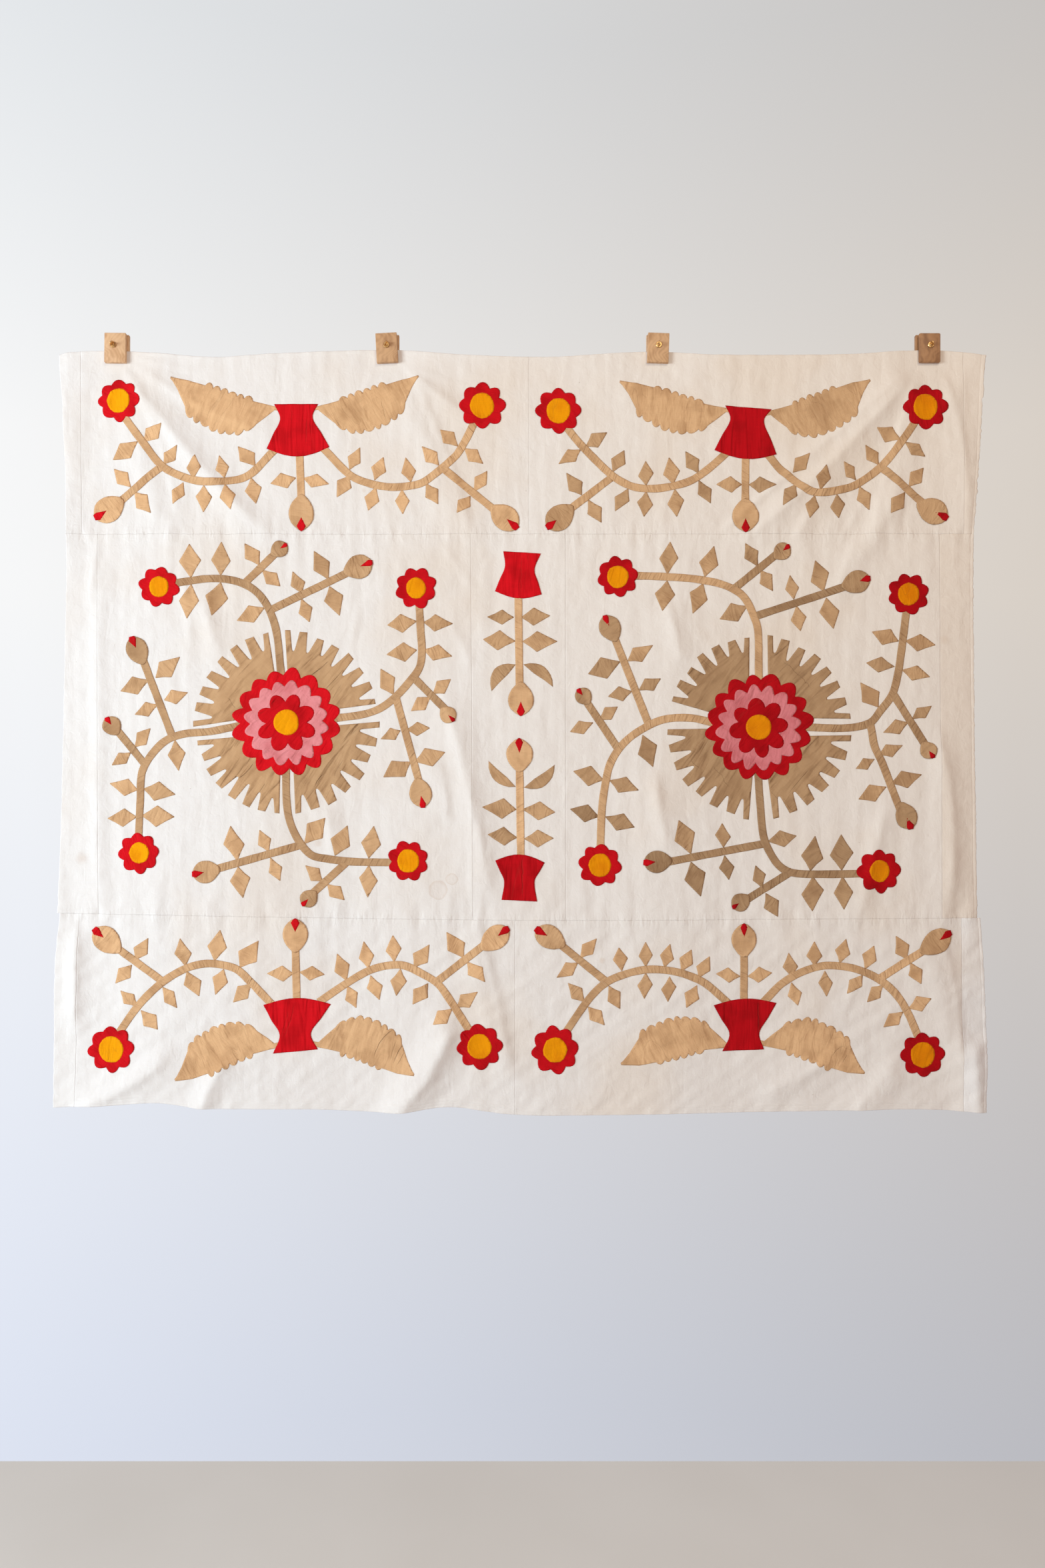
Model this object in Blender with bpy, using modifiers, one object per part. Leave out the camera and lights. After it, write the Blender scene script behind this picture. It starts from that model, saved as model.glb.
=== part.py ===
"""An applique quilt top hanging from four wooden clamp hangers.

Thirteen panels of cotton are seamed into one sheet. Six pots, eight feathers and two
rosettes of cut cloth lie on it. The sheet hangs in soft folds that fan out from the
outer clamps and run down to the hem. X is along the wall, Z is up, and the wall is the
plane Y = 0 with the cloth on its -Y side. The origin is on the wall, midway between the
hangers and level with the middle of their blocks.
"""

import math
from typing import NamedTuple

import bmesh
import bpy
from mathutils import Matrix, Vector

MM = 0.001
NAME = "applique_quilt_top"

# Cloth, in metres
CLOTH = 1.2 * MM
PATCH = 1.0 * MM
GAP = 0.3 * MM
CELL_ACROSS = 50 * MM
CELL_DOWN = 56 * MM

# Hangers, in metres: two thin blocks each, with a thumbscrew through them
HANGER_X = (-975 * MM, -325 * MM, 325 * MM, 975 * MM)
BLOCK_WIDTH = 51 * MM
BLOCK_HEIGHT = 70 * MM
BLOCK_DEPTH = 9.5 * MM
BLOCK_EDGE = 1.0 * MM
SCREW_Z = 6 * MM
SCREW_RADIUS = 2.5 * MM
SCREW_HOLE_RADIUS = 2.8 * MM
SCREW_HOLE_DEPTH = 6 * MM
SHOULDER_RADIUS = 7.5 * MM
SHOULDER_DEPTH = 2.5 * MM
NECK_RADIUS = 3.5 * MM
NECK_DEPTH = 3 * MM
PADDLE_WIDTH = 10 * MM
PADDLE_LENGTH = 11 * MM
PADDLE_DEPTH = 2 * MM
CLAMPED_ACROSS = 29 * MM  # the cloth is flat this far each side of a hanger's middle
CLAMPED_DOWN = 40 * MM  # and this far below it
CLAMP_FADE = 80 * MM  # the folds reach their full rise this far from a clamp

# The outline, as (z, x) down the sides and (x, z) along the top and the hem, in mm
LEFT_UPPER = (
    (0, -1110), (-40, -1111), (-130, -1103), (-430, -1092), (-740, -1097), (-1140, -1105), (-1360, -1113),
)
LEFT_LOWER = ((-1340, -1105), (-1470, -1118), (-1670, -1121), (-1840, -1122))
RIGHT_UPPER = ((0, 1112), (-85, 1105), (-250, 1096), (-440, 1081), (-920, 1082), (-1370, 1087))
RIGHT_LOWER = ((-1350, 1094), (-1500, 1103), (-1655, 1108), (-1840, 1101))
TOP_EDGE = (
    (-1120, -18), (-1085, -9), (-1000, -4), (-950, -5), (-840, -14), (-738, -21), (-595, -12),
    (-350, -2), (-300, -2), (-170, -13), (54, -21), (160, -15), (300, -6), (350, -7), (445, -14),
    (635, -15), (795, -13), (945, -3), (1000, -3), (1120, -17),
)
SEAM_1 = ((-1120, -445), (1120, -445))
SEAM_2 = ((-1120, -1353), (0, -1370), (1120, -1364))
HEM = (
    (-1130, -1818), (-975, -1811), (-875, -1806), (-765, -1818), (-520, -1822), (-305, -1828),
    (-172, -1816), (-45, -1832), (90, -1836), (360, -1832), (700, -1826), (930, -1820), (1110, -1826),
)


class Upright(NamedTuple):
    """A seam that runs down a band: its x at the band's top and foot, in mm."""

    top: float
    foot: float


TOP_SEAMS = (Upright(-1060, -1055), Upright(15, 15), Upright(1057, 1057))
MIDDLE_SEAMS = (Upright(-1018, -1014), Upright(-124, -118), Upright(103, 103), Upright(999, 1001))
BOTTOM_SEAMS = (Upright(-1060, -1071), Upright(-18, -18), Upright(1049, 1049))
TOP_NAMES = ("top_left_strip", "top_left", "top_right", "top_right_strip")
MIDDLE_NAMES = ("middle_left_strip", "middle_left", "middle_center", "middle_right", "middle_right_strip")
BOTTOM_NAMES = ("bottom_left_strip", "bottom_left", "bottom_right", "bottom_right_strip")


class Fold(NamedTuple):
    """A soft ridge from one end to the other, in mm.

    bow moves its middle sideways, reach is half its width, and rise is how far it
    stands towards the room.
    """

    x0: float
    z0: float
    x1: float
    z1: float
    bow: float
    reach: float
    rise: float


FOLDS = (
    # Fan from the first hanger
    Fold(-950, -40, -600, -460, 18, 30, 9),
    Fold(-940, -30, -600, -205, 12, 26, 5),
    Fold(-955, -45, -850, -470, 12, 30, 5),
    Fold(-1085, -90, -1080, -560, 0, 26, 5),
    # Fan from the second hanger
    Fold(-295, -35, -95, -195, 8, 24, 5),
    Fold(-300, -45, -110, -480, 14, 30, 6),
    # Fan from the fourth hanger
    Fold(950, -38, 520, -470, -20, 30, 10),
    Fold(944, -32, 580, -335, -10, 24, 5),
    Fold(955, -45, 850, -470, -10, 26, 5),
    Fold(1000, -38, 1060, -440, -16, 30, 5),
    Fold(760, -300, 640, -470, 0, 24, 5),
    Fold(905, -330, 800, -520, 0, 24, 5),
    # Middle band, mostly upright
    Fold(-1016, -440, -1014, -1370, 0, 22, 4),
    Fold(-780, -560, -715, -760, 0, 28, 5),
    Fold(-180, -800, -85, -1345, -8, 30, 9),
    Fold(-230, -950, -175, -1130, 0, 26, 4),
    Fold(-480, -1080, -450, -1230, 0, 26, 4),
    Fold(345, -600, 385, -770, 0, 28, 6),
    Fold(310, -1010, 350, -1230, 0, 30, 6),
    Fold(985, -900, 1010, -1360, -22, 28, 7),
    Fold(880, -1060, 790, -1400, 0, 28, 5),
    Fold(820, -470, 745, -620, 0, 24, 4),
    # Bottom band, running to the hem
    Fold(-1068, -1380, -1072, -1640, 0, 22, 8),
    Fold(-1090, -1830, -830, -1690, 10, 32, 12),
    Fold(-790, -1870, -690, -1690, -8, 28, 9),
    Fold(-345, -1880, -160, -1600, 14, 38, 18),
    Fold(-120, -1370, -20, -1760, 18, 28, 7),
    Fold(560, -1800, 760, -1690, 0, 28, 6),
    Fold(760, -1870, 900, -1710, 8, 32, 9),
    Fold(975, -1380, 1045, -1700, 10, 28, 6),
    Fold(1070, -1640, 1090, -1900, 0, 45, 17),
)


class Wave(NamedTuple):
    """A broad undulation along the wall: length and shift in mm, and its rise at the top and hem."""

    length: float
    shift: float
    rise_top: float
    rise_hem: float


WAVES = (Wave(930, 120, 0.6, 2.6), Wave(545, 310, 0.4, 2.0), Wave(310, 40, 0.3, 1.2))
LEAN = 8 * MM  # the hem hangs this much further from the wall than the clamps
WAVE_ROOM = 4 * MM  # keeps the troughs of the waves clear of the wall


class Pot(NamedTuple):
    """A pot patch: the middle of its rim and foot, its widths, and the rim's bow, in mm."""

    name: str
    panel: str
    x: float
    z_rim: float
    z_foot: float
    rim: float
    waist: float
    foot: float
    bow: float


POTS = (
    Pot("pot_top_left", "top_left", -536, -241, -135, 149, 80, 104, 20),
    Pot("pot_top_right", "top_right", 538, -247, -140, 148, 83, 110, 17),
    Pot("pot_middle_upper", "middle_center", -6, -586, -489, 110, 72, 90, 13),
    Pot("pot_middle_lower", "middle_center", -6, -1228, -1322, 118, 74, 85, 15),
    Pot("pot_bottom_left", "bottom_left", -540, -1570, -1684, 160, 75, 102, 16),
    Pot("pot_bottom_right", "bottom_right", 530, -1569, -1682, 150, 72, 101, 14),
)
WAIST_AT = 0.68  # how far from the rim to the foot a pot's waist is


class Feather(NamedTuple):
    """A feather patch: its root by the pot, its tip, and how far its two long edges stand off, in mm."""

    name: str
    panel: str
    root_x: float
    root_z: float
    tip_x: float
    tip_z: float
    belly: float
    back: float


FEATHERS = (
    Feather("feather_top_left_outer", "top_left", -593, -143, -842, -71, 94, 6),
    Feather("feather_top_left_inner", "top_left", -492, -142, -249, -68, 90, 6),
    Feather("feather_top_right_inner", "top_right", 489, -148, 233, -79, 84, 8),
    Feather("feather_top_right_outer", "top_right", 593, -154, 833, -76, 90, 8),
    Feather("feather_bottom_left_outer", "bottom_left", -591, -1668, -829, -1751, 90, 12),
    Feather("feather_bottom_left_inner", "bottom_left", -490, -1667, -258, -1737, 96, 12),
    Feather("feather_bottom_right_inner", "bottom_right", 489, -1668, 235, -1713, 86, 12),
    Feather("feather_bottom_right_outer", "bottom_right", 577, -1664, 817, -1735, 88, 12),
)
FEATHER_NOTCHES = 8  # scallops along each long edge
FEATHER_NOTCH = 6  # how far a scallop stands out, in mm
FEATHER_ROOT = 0.05  # where the root is cut, as a share of the length
FEATHER_PLAIN_ROOT = 0.12  # where the scallops begin and end, as shares of the length
FEATHER_PLAIN_TIP = 0.8
# How far the full edge and the flatter one stand off from root to tip, as shares of belly and back
FEATHER_BELLY = (
    (0, 0.06), (0.1, 0.48), (0.2, 0.74), (0.32, 0.90), (0.45, 0.93), (0.6, 0.87), (0.76, 0.72), (0.87, 0.36),
    (1, 0.02),
)
FEATHER_BACK = ((0, 0.6), (0.2, 0.2), (0.45, 0.4), (0.7, 0.9), (0.9, 0.8), (1, 0.1))


class Channel(NamedTuple):
    """A gap in a fringe for a stem: its heading in degrees, half its width at the hub and outside in mm."""

    heading: float
    half_in: float
    half_out: float


class Rosette(NamedTuple):
    """A rosette: its middle in mm, the turn of its scallops in degrees, its fringe's teeth and channels.

    The teeth are counted for each quarter, from the upper right one, turning left, and
    the channels follow the same way from the right.
    """

    name: str
    panel: str
    x: float
    z: float
    turn: float
    teeth: tuple
    channels: tuple


ROSETTES = (
    Rosette("rosette_left", "middle_left", -565, -897, 3, (8, 8, 8, 8),
            (Channel(6.2, 19, 21.5), Channel(96.2, 14.5, 20), Channel(187, 20, 17),
             Channel(270.7, 15.5, 19))),
    Rosette("rosette_right", "middle_right", 566, -908, -4, (8, 7, 8, 7),
            (Channel(0.1, 21, 19.5), Channel(90.1, 22.5, 21.5), Channel(172.5, 18, 34),
             Channel(271.4, 17, 29))),
)
FRINGE_INNER = 104  # radii of the tan fringe, in mm
FRINGE_VALLEY = 176
FRINGE_TIP = 218
TOOTH_TIP = 0.5  # a tooth's width at its tip, as a share of its pitch there
GAP_FOOT = 0.2  # and the width of the gap beside it at its foot


class Ring(NamedTuple):
    """A layer of a rosette: its scallops, their radii in mm, its colour and its layer."""

    name: str
    lobes: int
    valley: float
    tip: float
    colour: str
    level: int


RINGS = (
    Ring("outer", 16, 111, 129, "red", 1),
    Ring("pink", 16, 90, 102, "pink", 2),
    Ring("inner", 8, 54, 70, "red", 3),
    Ring("middle", 12, 30, 31, "yellow", 4),
)
CUTTER_REACH = 0.1  # half the depth of the prisms that cut the patches, in metres


class Finish(NamedTuple):
    """A material's colour, roughness and metallic value."""

    colour: tuple
    roughness: float
    metallic: float


FINISHES = {
    "cotton": Finish((0.86, 0.83, 0.77, 1), 0.9, 0),
    "red": Finish((0.62, 0.015, 0.025, 1), 0.85, 0),
    "pink": Finish((0.72, 0.20, 0.25, 1), 0.85, 0),
    "yellow": Finish((0.90, 0.38, 0.01, 1), 0.85, 0),
    "tan": Finish((0.55, 0.38, 0.22, 1), 0.9, 0),
    "wood": Finish((0.55, 0.33, 0.17, 1), 0.6, 0),
    "brass": Finish((0.72, 0.50, 0.22, 1), 0.3, 1),
}


def eased(value, low, high):
    """0 below low, 1 above high, and a smooth rise between them."""
    share = min(1.0, max(0.0, (value - low) / (high - low)))
    return share * share * (3 - 2 * share)


def through(points, at):
    """The height at one place of a smooth curve through a few points, which run either way."""
    rows = sorted(points)
    k = max(0, min(len(rows) - 2, sum(at > row[0] for row in rows) - 1))
    before, start, end, after = (rows[min(max(i, 0), len(rows) - 1)] for i in range(k - 1, k + 3))
    span = end[0] - start[0]
    share = min(1.0, max(0.0, (at - start[0]) / span))
    slope_in = (end[1] - before[1]) / (end[0] - before[0]) * span
    slope_out = (after[1] - start[1]) / (after[0] - start[0]) * span
    square, cube = share**2, share**3
    return (
        (2 * cube - 3 * square + 1) * start[1]
        + (cube - 2 * square + share) * slope_in
        + (3 * square - 2 * cube) * end[1]
        + (cube - square) * slope_out
    )


def fold_rise(fold, x, z):
    """How far one fold lifts the cloth at a place, all in mm."""
    run_x, run_z = fold.x1 - fold.x0, fold.z1 - fold.z0
    length = math.hypot(run_x, run_z)
    along = ((x - fold.x0) * run_x + (z - fold.z0) * run_z) / length**2
    aside = ((x - fold.x0) * run_z - (z - fold.z0) * run_x) / length
    within = min(1.0, max(0.0, along))
    off = aside - 4 * fold.bow * within * (1 - within)
    ends = eased(along, -0.05, 0.25) * (1 - eased(along, 0.8, 1.1))
    return fold.rise * ends * math.exp(-((off / fold.reach) ** 2))


def clear_of_clamps(x, z):
    """0 where a hanger grips the cloth, growing to 1 away from it."""
    nearest = 1.0
    for middle in HANGER_X:
        across = max(0.0, abs(x - middle) - CLAMPED_ACROSS)
        below = max(0.0, -CLAMPED_DOWN - z)
        nearest = min(nearest, eased(math.hypot(across, below), 0, CLAMP_FADE))
    return nearest


def cloth_y(x, z):
    """Y of the middle of the cloth at a place, in metres."""
    x_mm, z_mm = x / MM, z / MM
    down = eased(-z_mm, 0, 1820)
    rise = sum(fold_rise(fold, x_mm, z_mm) for fold in FOLDS)
    for wave in WAVES:
        height = wave.rise_top + (wave.rise_hem - wave.rise_top) * down
        rise += height * math.sin(2 * math.pi * (x_mm + wave.shift) / wave.length)
    free = rise * MM + LEAN * down + WAVE_ROOM
    return -(BLOCK_DEPTH + GAP + CLOTH / 2) - free * clear_of_clamps(x, z)


class Panel:
    """A piece of the ground: a lattice between two lines across and two sides."""

    def __init__(self, name, top, foot, left, right, rows):
        """Lines and sides are functions of a place in metres; rows are shares from top to foot."""
        self.name = name
        self.top, self.foot, self.left, self.right = top, foot, left, right
        self.rows = rows
        middle = (top(0) + foot(0)) / 2
        low, high = left(middle), right(middle)
        self.columns = [(x - low) / (high - low) for x in stations(low, high, COLUMN_MARKS, CELL_ACROSS)]

    def place(self, column, row):
        """The point of the lattice at a column and a row, on the middle of the cloth."""
        x, z = 0.0, (self.top(0) + self.foot(0)) / 2
        for _ in range(4):
            left, right = self.left(z) + GAP / 2, self.right(z) - GAP / 2
            x = left + (right - left) * self.columns[column]
            top, foot = self.top(x) - GAP / 2, self.foot(x) + GAP / 2
            z = top + (foot - top) * self.rows[row]
        return Vector((x, cloth_y(x, z), z))

    def window(self, outline):
        """The lattice's first and last columns and rows round an outline."""
        last_column, last_row = len(self.columns) - 1, len(self.rows) - 1
        xs = [self.place(i, last_row // 2).x for i in range(last_column + 1)]
        zs = [self.place(last_column // 2, j).z for j in range(last_row + 1)]
        low_x, high_x = min(p[0] for p in outline), max(p[0] for p in outline)
        low_z, high_z = min(p[1] for p in outline), max(p[1] for p in outline)
        first = max(0, sum(x < low_x for x in xs) - 2)
        last = min(last_column, last_column + 2 - sum(x > high_x for x in xs))
        upper = max(0, sum(z > high_z for z in zs) - 2)
        lower = min(last_row, last_row + 2 - sum(z < low_z for z in zs))
        return first, last, upper, lower

    def sheet(self, name, depth, lift, window=None):
        """A mesh of the cloth's form, depth thick, its back lift in front of the cloth's middle."""
        first, last, upper, lower = window or (0, len(self.columns) - 1, 0, len(self.rows) - 1)
        across, down = last - first, lower - upper
        bm = bmesh.new()
        bmesh.ops.create_grid(bm, x_segments=across, y_segments=down, size=0.5)
        for vert in bm.verts:
            column = first + round((vert.co.x + 0.5) * across)
            row = upper + round((0.5 - vert.co.y) * down)
            vert.co = self.place(column, row) - Vector((0, lift, 0))
        for face in bm.faces[:]:
            split_along_fold(face)
        front = bmesh.ops.extrude_face_region(bm, geom=bm.faces[:], use_keep_orig=True)
        moved = [item for item in front["geom"] if isinstance(item, bmesh.types.BMVert)]
        bmesh.ops.translate(bm, vec=(0, -depth, 0), verts=moved)
        bmesh.ops.recalc_face_normals(bm, faces=bm.faces[:])
        mesh = bpy.data.meshes.new(name)
        bm.to_mesh(mesh)
        bm.free()
        return mesh


def split_along_fold(face):
    """Splits a cell of the lattice along its more level diagonal, so that an edge follows the fold."""
    first, second, third, fourth = face.verts
    falls = abs(first.co.y - third.co.y), abs(second.co.y - fourth.co.y)
    if round(falls[0], 6) <= round(falls[1], 6):
        bmesh.utils.face_split(face, first, third)
    else:
        bmesh.utils.face_split(face, second, fourth)


def stations(low, high, marks, step):
    """Places from low to high about a step apart, with the marks between them."""
    kept = [low] + [mark for mark in marks if low + step / 5 < mark < high - step / 5] + [high]
    places = [low]
    for start, end in zip(kept, kept[1:]):
        count = max(1, round((end - start) / step))
        places += [start + (end - start) * k / count for k in range(1, count + 1)]
    return places


def line(points):
    """A smooth line through points in mm, as a function from metres to metres."""
    return lambda at: through(points, at / MM) * MM


def upright(seam, top, foot):
    """A straight seam between two heights in metres, as a function of z."""
    return lambda z: (seam.top + (seam.foot - seam.top) * (z - top) / (foot - top)) * MM


COLUMN_MARKS = sorted(
    [seam.top * MM for seam in TOP_SEAMS + MIDDLE_SEAMS + BOTTOM_SEAMS]
    + [x + side * CLAMPED_ACROSS for x in HANGER_X for side in (-1, 1)]
)


class Band(NamedTuple):
    """A row of panels: its lines, its outer sides, its seams and its panels' names."""

    top: tuple
    foot: tuple
    left: tuple
    right: tuple
    seams: tuple
    names: tuple


BANDS = (
    Band(TOP_EDGE, SEAM_1, LEFT_UPPER, RIGHT_UPPER, TOP_SEAMS, TOP_NAMES),
    Band(SEAM_1, SEAM_2, LEFT_UPPER, RIGHT_UPPER, MIDDLE_SEAMS, MIDDLE_NAMES),
    Band(SEAM_2, HEM, LEFT_LOWER, RIGHT_LOWER, BOTTOM_SEAMS, BOTTOM_NAMES),
)


def make_panels():
    """Every panel of the ground, by name."""
    panels = {}
    for band in BANDS:
        top, foot = line(band.top), line(band.foot)
        high, low = top(0), foot(0)
        marks = [-CLAMPED_DOWN] if band.top is TOP_EDGE else []
        levels = stations(low, high, marks, CELL_DOWN)
        rows = [(high - z) / (high - low) for z in reversed(levels)]
        if marks:
            gripped = top(HANGER_X[0])
            rows[1] = (gripped + CLAMPED_DOWN) / (gripped - low)
        sides = [line(band.left)]
        sides += [upright(seam, high, low) for seam in band.seams]
        sides += [line(band.right)]
        for name, left, right in zip(band.names, sides, sides[1:]):
            panels[name] = Panel(name, top, foot, left, right, rows)
    return panels


def pot_outline(pot):
    """A pot's outline as (x, z) in metres: a bowed rim, waisted sides and a straight foot."""
    height = pot.z_rim - pot.z_foot
    side = []
    for share in (0.0, 0.2, 0.45, WAIST_AT, 0.85, 1.0):
        if share < WAIST_AT:
            half = pot.rim / 2 + (pot.waist - pot.rim) / 2 * math.sin(math.pi / 2 * share / WAIST_AT)
        else:
            half = pot.waist / 2 + (pot.foot - pot.waist) / 2 * ((share - WAIST_AT) / (1 - WAIST_AT)) ** 2
        side.append((half, pot.z_rim - share * height))
    rim = []
    for share in (0.5, 0.0, -0.5):
        bow = math.copysign(pot.bow * math.cos(math.pi / 2 * share), height)
        rim.append((share * pot.rim, pot.z_rim + bow))
    left = [(-x, z) for x, z in side]
    loop = rim + left + side[::-1]
    return [((pot.x + x) * MM, z * MM) for x, z in loop]


def feather_outline(feather):
    """A feather's outline as (x, z) in metres: a full scalloped edge and a flatter one."""
    root, tip = Vector((feather.root_x, feather.root_z)), Vector((feather.tip_x, feather.tip_z))
    along = tip - root
    lower_side = Vector((-along.y, along.x)).normalized()
    towards_middle = -1 if root.y > SEAM_1[0][1] else 1
    if lower_side.y * towards_middle < 0:
        lower_side.negate()
    steps = 2 * FEATHER_NOTCHES
    edges = []
    for stand, sign, profile in ((feather.belly, 1, FEATHER_BELLY), (feather.back, -1, FEATHER_BACK)):
        edge = []
        for k in range(steps):
            share = FEATHER_ROOT + (1 - FEATHER_ROOT) * k / steps
            scalloped = FEATHER_PLAIN_ROOT < share < FEATHER_PLAIN_TIP
            notch = FEATHER_NOTCH if k % 2 and scalloped else 0
            edge.append(root + along * share + lower_side * sign * (stand * through(profile, share) + notch))
        edges.append(edge)
    loop = edges[0] + [tip] + edges[1][::-1]
    return [(p.x * MM, p.y * MM) for p in loop]


def ring_outline(rosette, ring):
    """The outline of one scalloped layer of a rosette as (x, z) in metres."""
    steps = ring.lobes * (3 if ring.tip - ring.valley > 5 else 1)
    loop = []
    for k in range(steps):
        angle = 2 * math.pi * k / steps
        swell = abs(math.sin(ring.lobes * angle / 2)) ** 0.7
        radius = ring.valley + (ring.tip - ring.valley) * swell
        turned = angle + math.radians(rosette.turn)
        across, up = radius * math.cos(turned), radius * math.sin(turned)
        loop.append(((rosette.x + across) * MM, (rosette.z + up) * MM))
    return loop


def channel_side(channel, radius, side):
    """The angle of one side of a channel at a radius, in radians. side is 1 for its left from the hub."""
    share = (radius - FRINGE_INNER) / (FRINGE_TIP - FRINGE_INNER)
    half = channel.half_in + (channel.half_out - channel.half_in) * share
    return math.radians(channel.heading) + side * math.asin(half / radius)


def fringe_outline(rosette, quarter):
    """The outline of one quarter of a rosette's toothed fringe as (x, z) in metres."""
    right, left = rosette.channels[quarter], rosette.channels[(quarter + 1) % 4]
    full_turn = 2 * math.pi if quarter == 3 else 0
    begin = channel_side(right, FRINGE_TIP, 1)
    end = channel_side(left, FRINGE_TIP, -1) + full_turn
    teeth = rosette.teeth[quarter]
    pitch = (end - begin) / (teeth - 1 + TOOTH_TIP)
    ring = []
    for tooth in range(teeth):
        low = begin + pitch * tooth
        high = low + pitch * TOOTH_TIP
        ring += [(FRINGE_TIP, low), (FRINGE_TIP, high)]
        if tooth < teeth - 1:
            gap = high + pitch * (1 - TOOTH_TIP) / 2
            ring += [(FRINGE_VALLEY, gap - pitch * GAP_FOOT / 2), (FRINGE_VALLEY, gap + pitch * GAP_FOOT / 2)]
    low = channel_side(right, FRINGE_INNER, 1)
    high = channel_side(left, FRINGE_INNER, -1) + full_turn
    for k in range(4):
        ring.append((FRINGE_INNER, high - (high - low) * k / 3))
    return [
        ((rosette.x + radius * math.cos(angle)) * MM, (rosette.z + radius * math.sin(angle)) * MM)
        for radius, angle in ring
    ]


def clear_scene():
    """Removes every object."""
    for obj in list(bpy.data.objects):
        bpy.data.objects.remove(obj)


def collection(name):
    """A new collection in the scene."""
    made = bpy.data.collections.new(name)
    bpy.context.scene.collection.children.link(made)
    return made


def materials():
    """A Principled material for each finish, by name."""
    made = {}
    for name, finish in FINISHES.items():
        material = bpy.data.materials.new(name)
        material.use_nodes = True
        shader = material.node_tree.nodes["Principled BSDF"]
        shader.inputs["Base Color"].default_value = finish.colour
        shader.inputs["Roughness"].default_value = finish.roughness
        shader.inputs["Metallic"].default_value = finish.metallic
        material.diffuse_color = finish.colour
        made[name] = material
    return made


class Builder:
    """Puts meshes in the scene as parts or as cutters."""

    def __init__(self):
        """Makes the collections and the materials."""
        self.parts = collection(NAME)
        self.cutters = collection(NAME + "_cutters")
        self.finishes = materials()

    def part(self, name, mesh, finish):
        """A part of the object, with its finish."""
        mesh.materials.append(self.finishes[finish])
        obj = bpy.data.objects.new(name, mesh)
        self.parts.objects.link(obj)
        return obj

    def cutter(self, name, mesh):
        """A helper that is left out of the object."""
        obj = bpy.data.objects.new(name, mesh)
        obj.hide_render = True
        obj.display_type = "WIRE"
        self.cutters.objects.link(obj)
        return obj

    def combine(self, obj, other, operation):
        """Adds a Boolean of the exact kind."""
        boolean = obj.modifiers.new(operation.lower(), "BOOLEAN")
        boolean.operation = operation
        boolean.solver = "EXACT"
        boolean.object = other

    def patch(self, name, panel, outline, finish, level):
        """A patch that lies on a panel's folds, cut to an outline."""
        lift = CLOTH / 2 + GAP + level * (PATCH + GAP)
        mesh = panel.sheet(name, PATCH, lift, panel.window(outline))
        obj = self.part(name, mesh, finish)
        self.combine(obj, self.cutter(name + "_outline", prism(name, outline)), "INTERSECT")


def prism(name, outline):
    """A prism across the cloth with an outline in X and Z, as a mesh."""
    curve = bpy.data.curves.new(name, "CURVE")
    curve.dimensions = "2D"
    curve.fill_mode = "BOTH"
    curve.extrude = CUTTER_REACH
    spline = curve.splines.new("POLY")
    spline.points.add(len(outline) - 1)
    for point, (x, z) in zip(spline.points, outline):
        point.co = (x, z, 0, 1)
    spline.use_cyclic_u = True
    drawn = bpy.data.objects.new(name, curve)
    mesh = bpy.data.meshes.new_from_object(drawn)
    bpy.data.objects.remove(drawn)
    bm = bmesh.new()
    bm.from_mesh(mesh)
    bmesh.ops.remove_doubles(bm, verts=bm.verts[:], dist=1e-6)
    bmesh.ops.rotate(bm, verts=bm.verts[:], cent=(0, 0, 0), matrix=Matrix.Rotation(math.pi / 2, 3, "X"))
    bmesh.ops.recalc_face_normals(bm, faces=bm.faces[:])
    bm.to_mesh(mesh)
    bm.free()
    return mesh


def block_mesh(name):
    """A hanger's block with eased edges, in the middle of its own frame."""
    bm = bmesh.new()
    bmesh.ops.create_cube(bm, size=1)
    bmesh.ops.scale(bm, vec=(BLOCK_WIDTH, BLOCK_DEPTH, BLOCK_HEIGHT), verts=bm.verts[:])
    bmesh.ops.bevel(bm, geom=bm.edges[:], offset=BLOCK_EDGE, segments=1, affect="EDGES", profile=0.5)
    mesh = bpy.data.meshes.new(name)
    bm.to_mesh(mesh)
    bm.free()
    return mesh


def rod_mesh(name, radius, length, sides):
    """A closed rod along Y in the middle of its own frame."""
    bm = bmesh.new()
    bmesh.ops.create_cone(bm, cap_ends=True, segments=sides, radius1=radius, radius2=radius, depth=length)
    bmesh.ops.rotate(bm, verts=bm.verts[:], cent=(0, 0, 0), matrix=Matrix.Rotation(math.pi / 2, 3, "X"))
    mesh = bpy.data.meshes.new(name)
    bm.to_mesh(mesh)
    bm.free()
    return mesh


def screw_profile(name, shaft_length):
    """The turned part of a thumbscrew as an open line from its outer end to its point, along Z."""
    heights = (
        (0, SHOULDER_DEPTH + NECK_DEPTH),
        (NECK_RADIUS, SHOULDER_DEPTH + NECK_DEPTH),
        (NECK_RADIUS, SHOULDER_DEPTH),
        (SHOULDER_RADIUS, SHOULDER_DEPTH),
        (SHOULDER_RADIUS, 0),
        (SCREW_RADIUS, 0),
        (SCREW_RADIUS, -shaft_length),
        (0, -shaft_length),
    )
    bm = bmesh.new()
    verts = [bm.verts.new((radius, 0, z)) for radius, z in heights]
    for start, end in zip(verts, verts[1:]):
        bm.edges.new((start, end))
    mesh = bpy.data.meshes.new(name)
    bm.to_mesh(mesh)
    bm.free()
    return mesh


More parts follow.
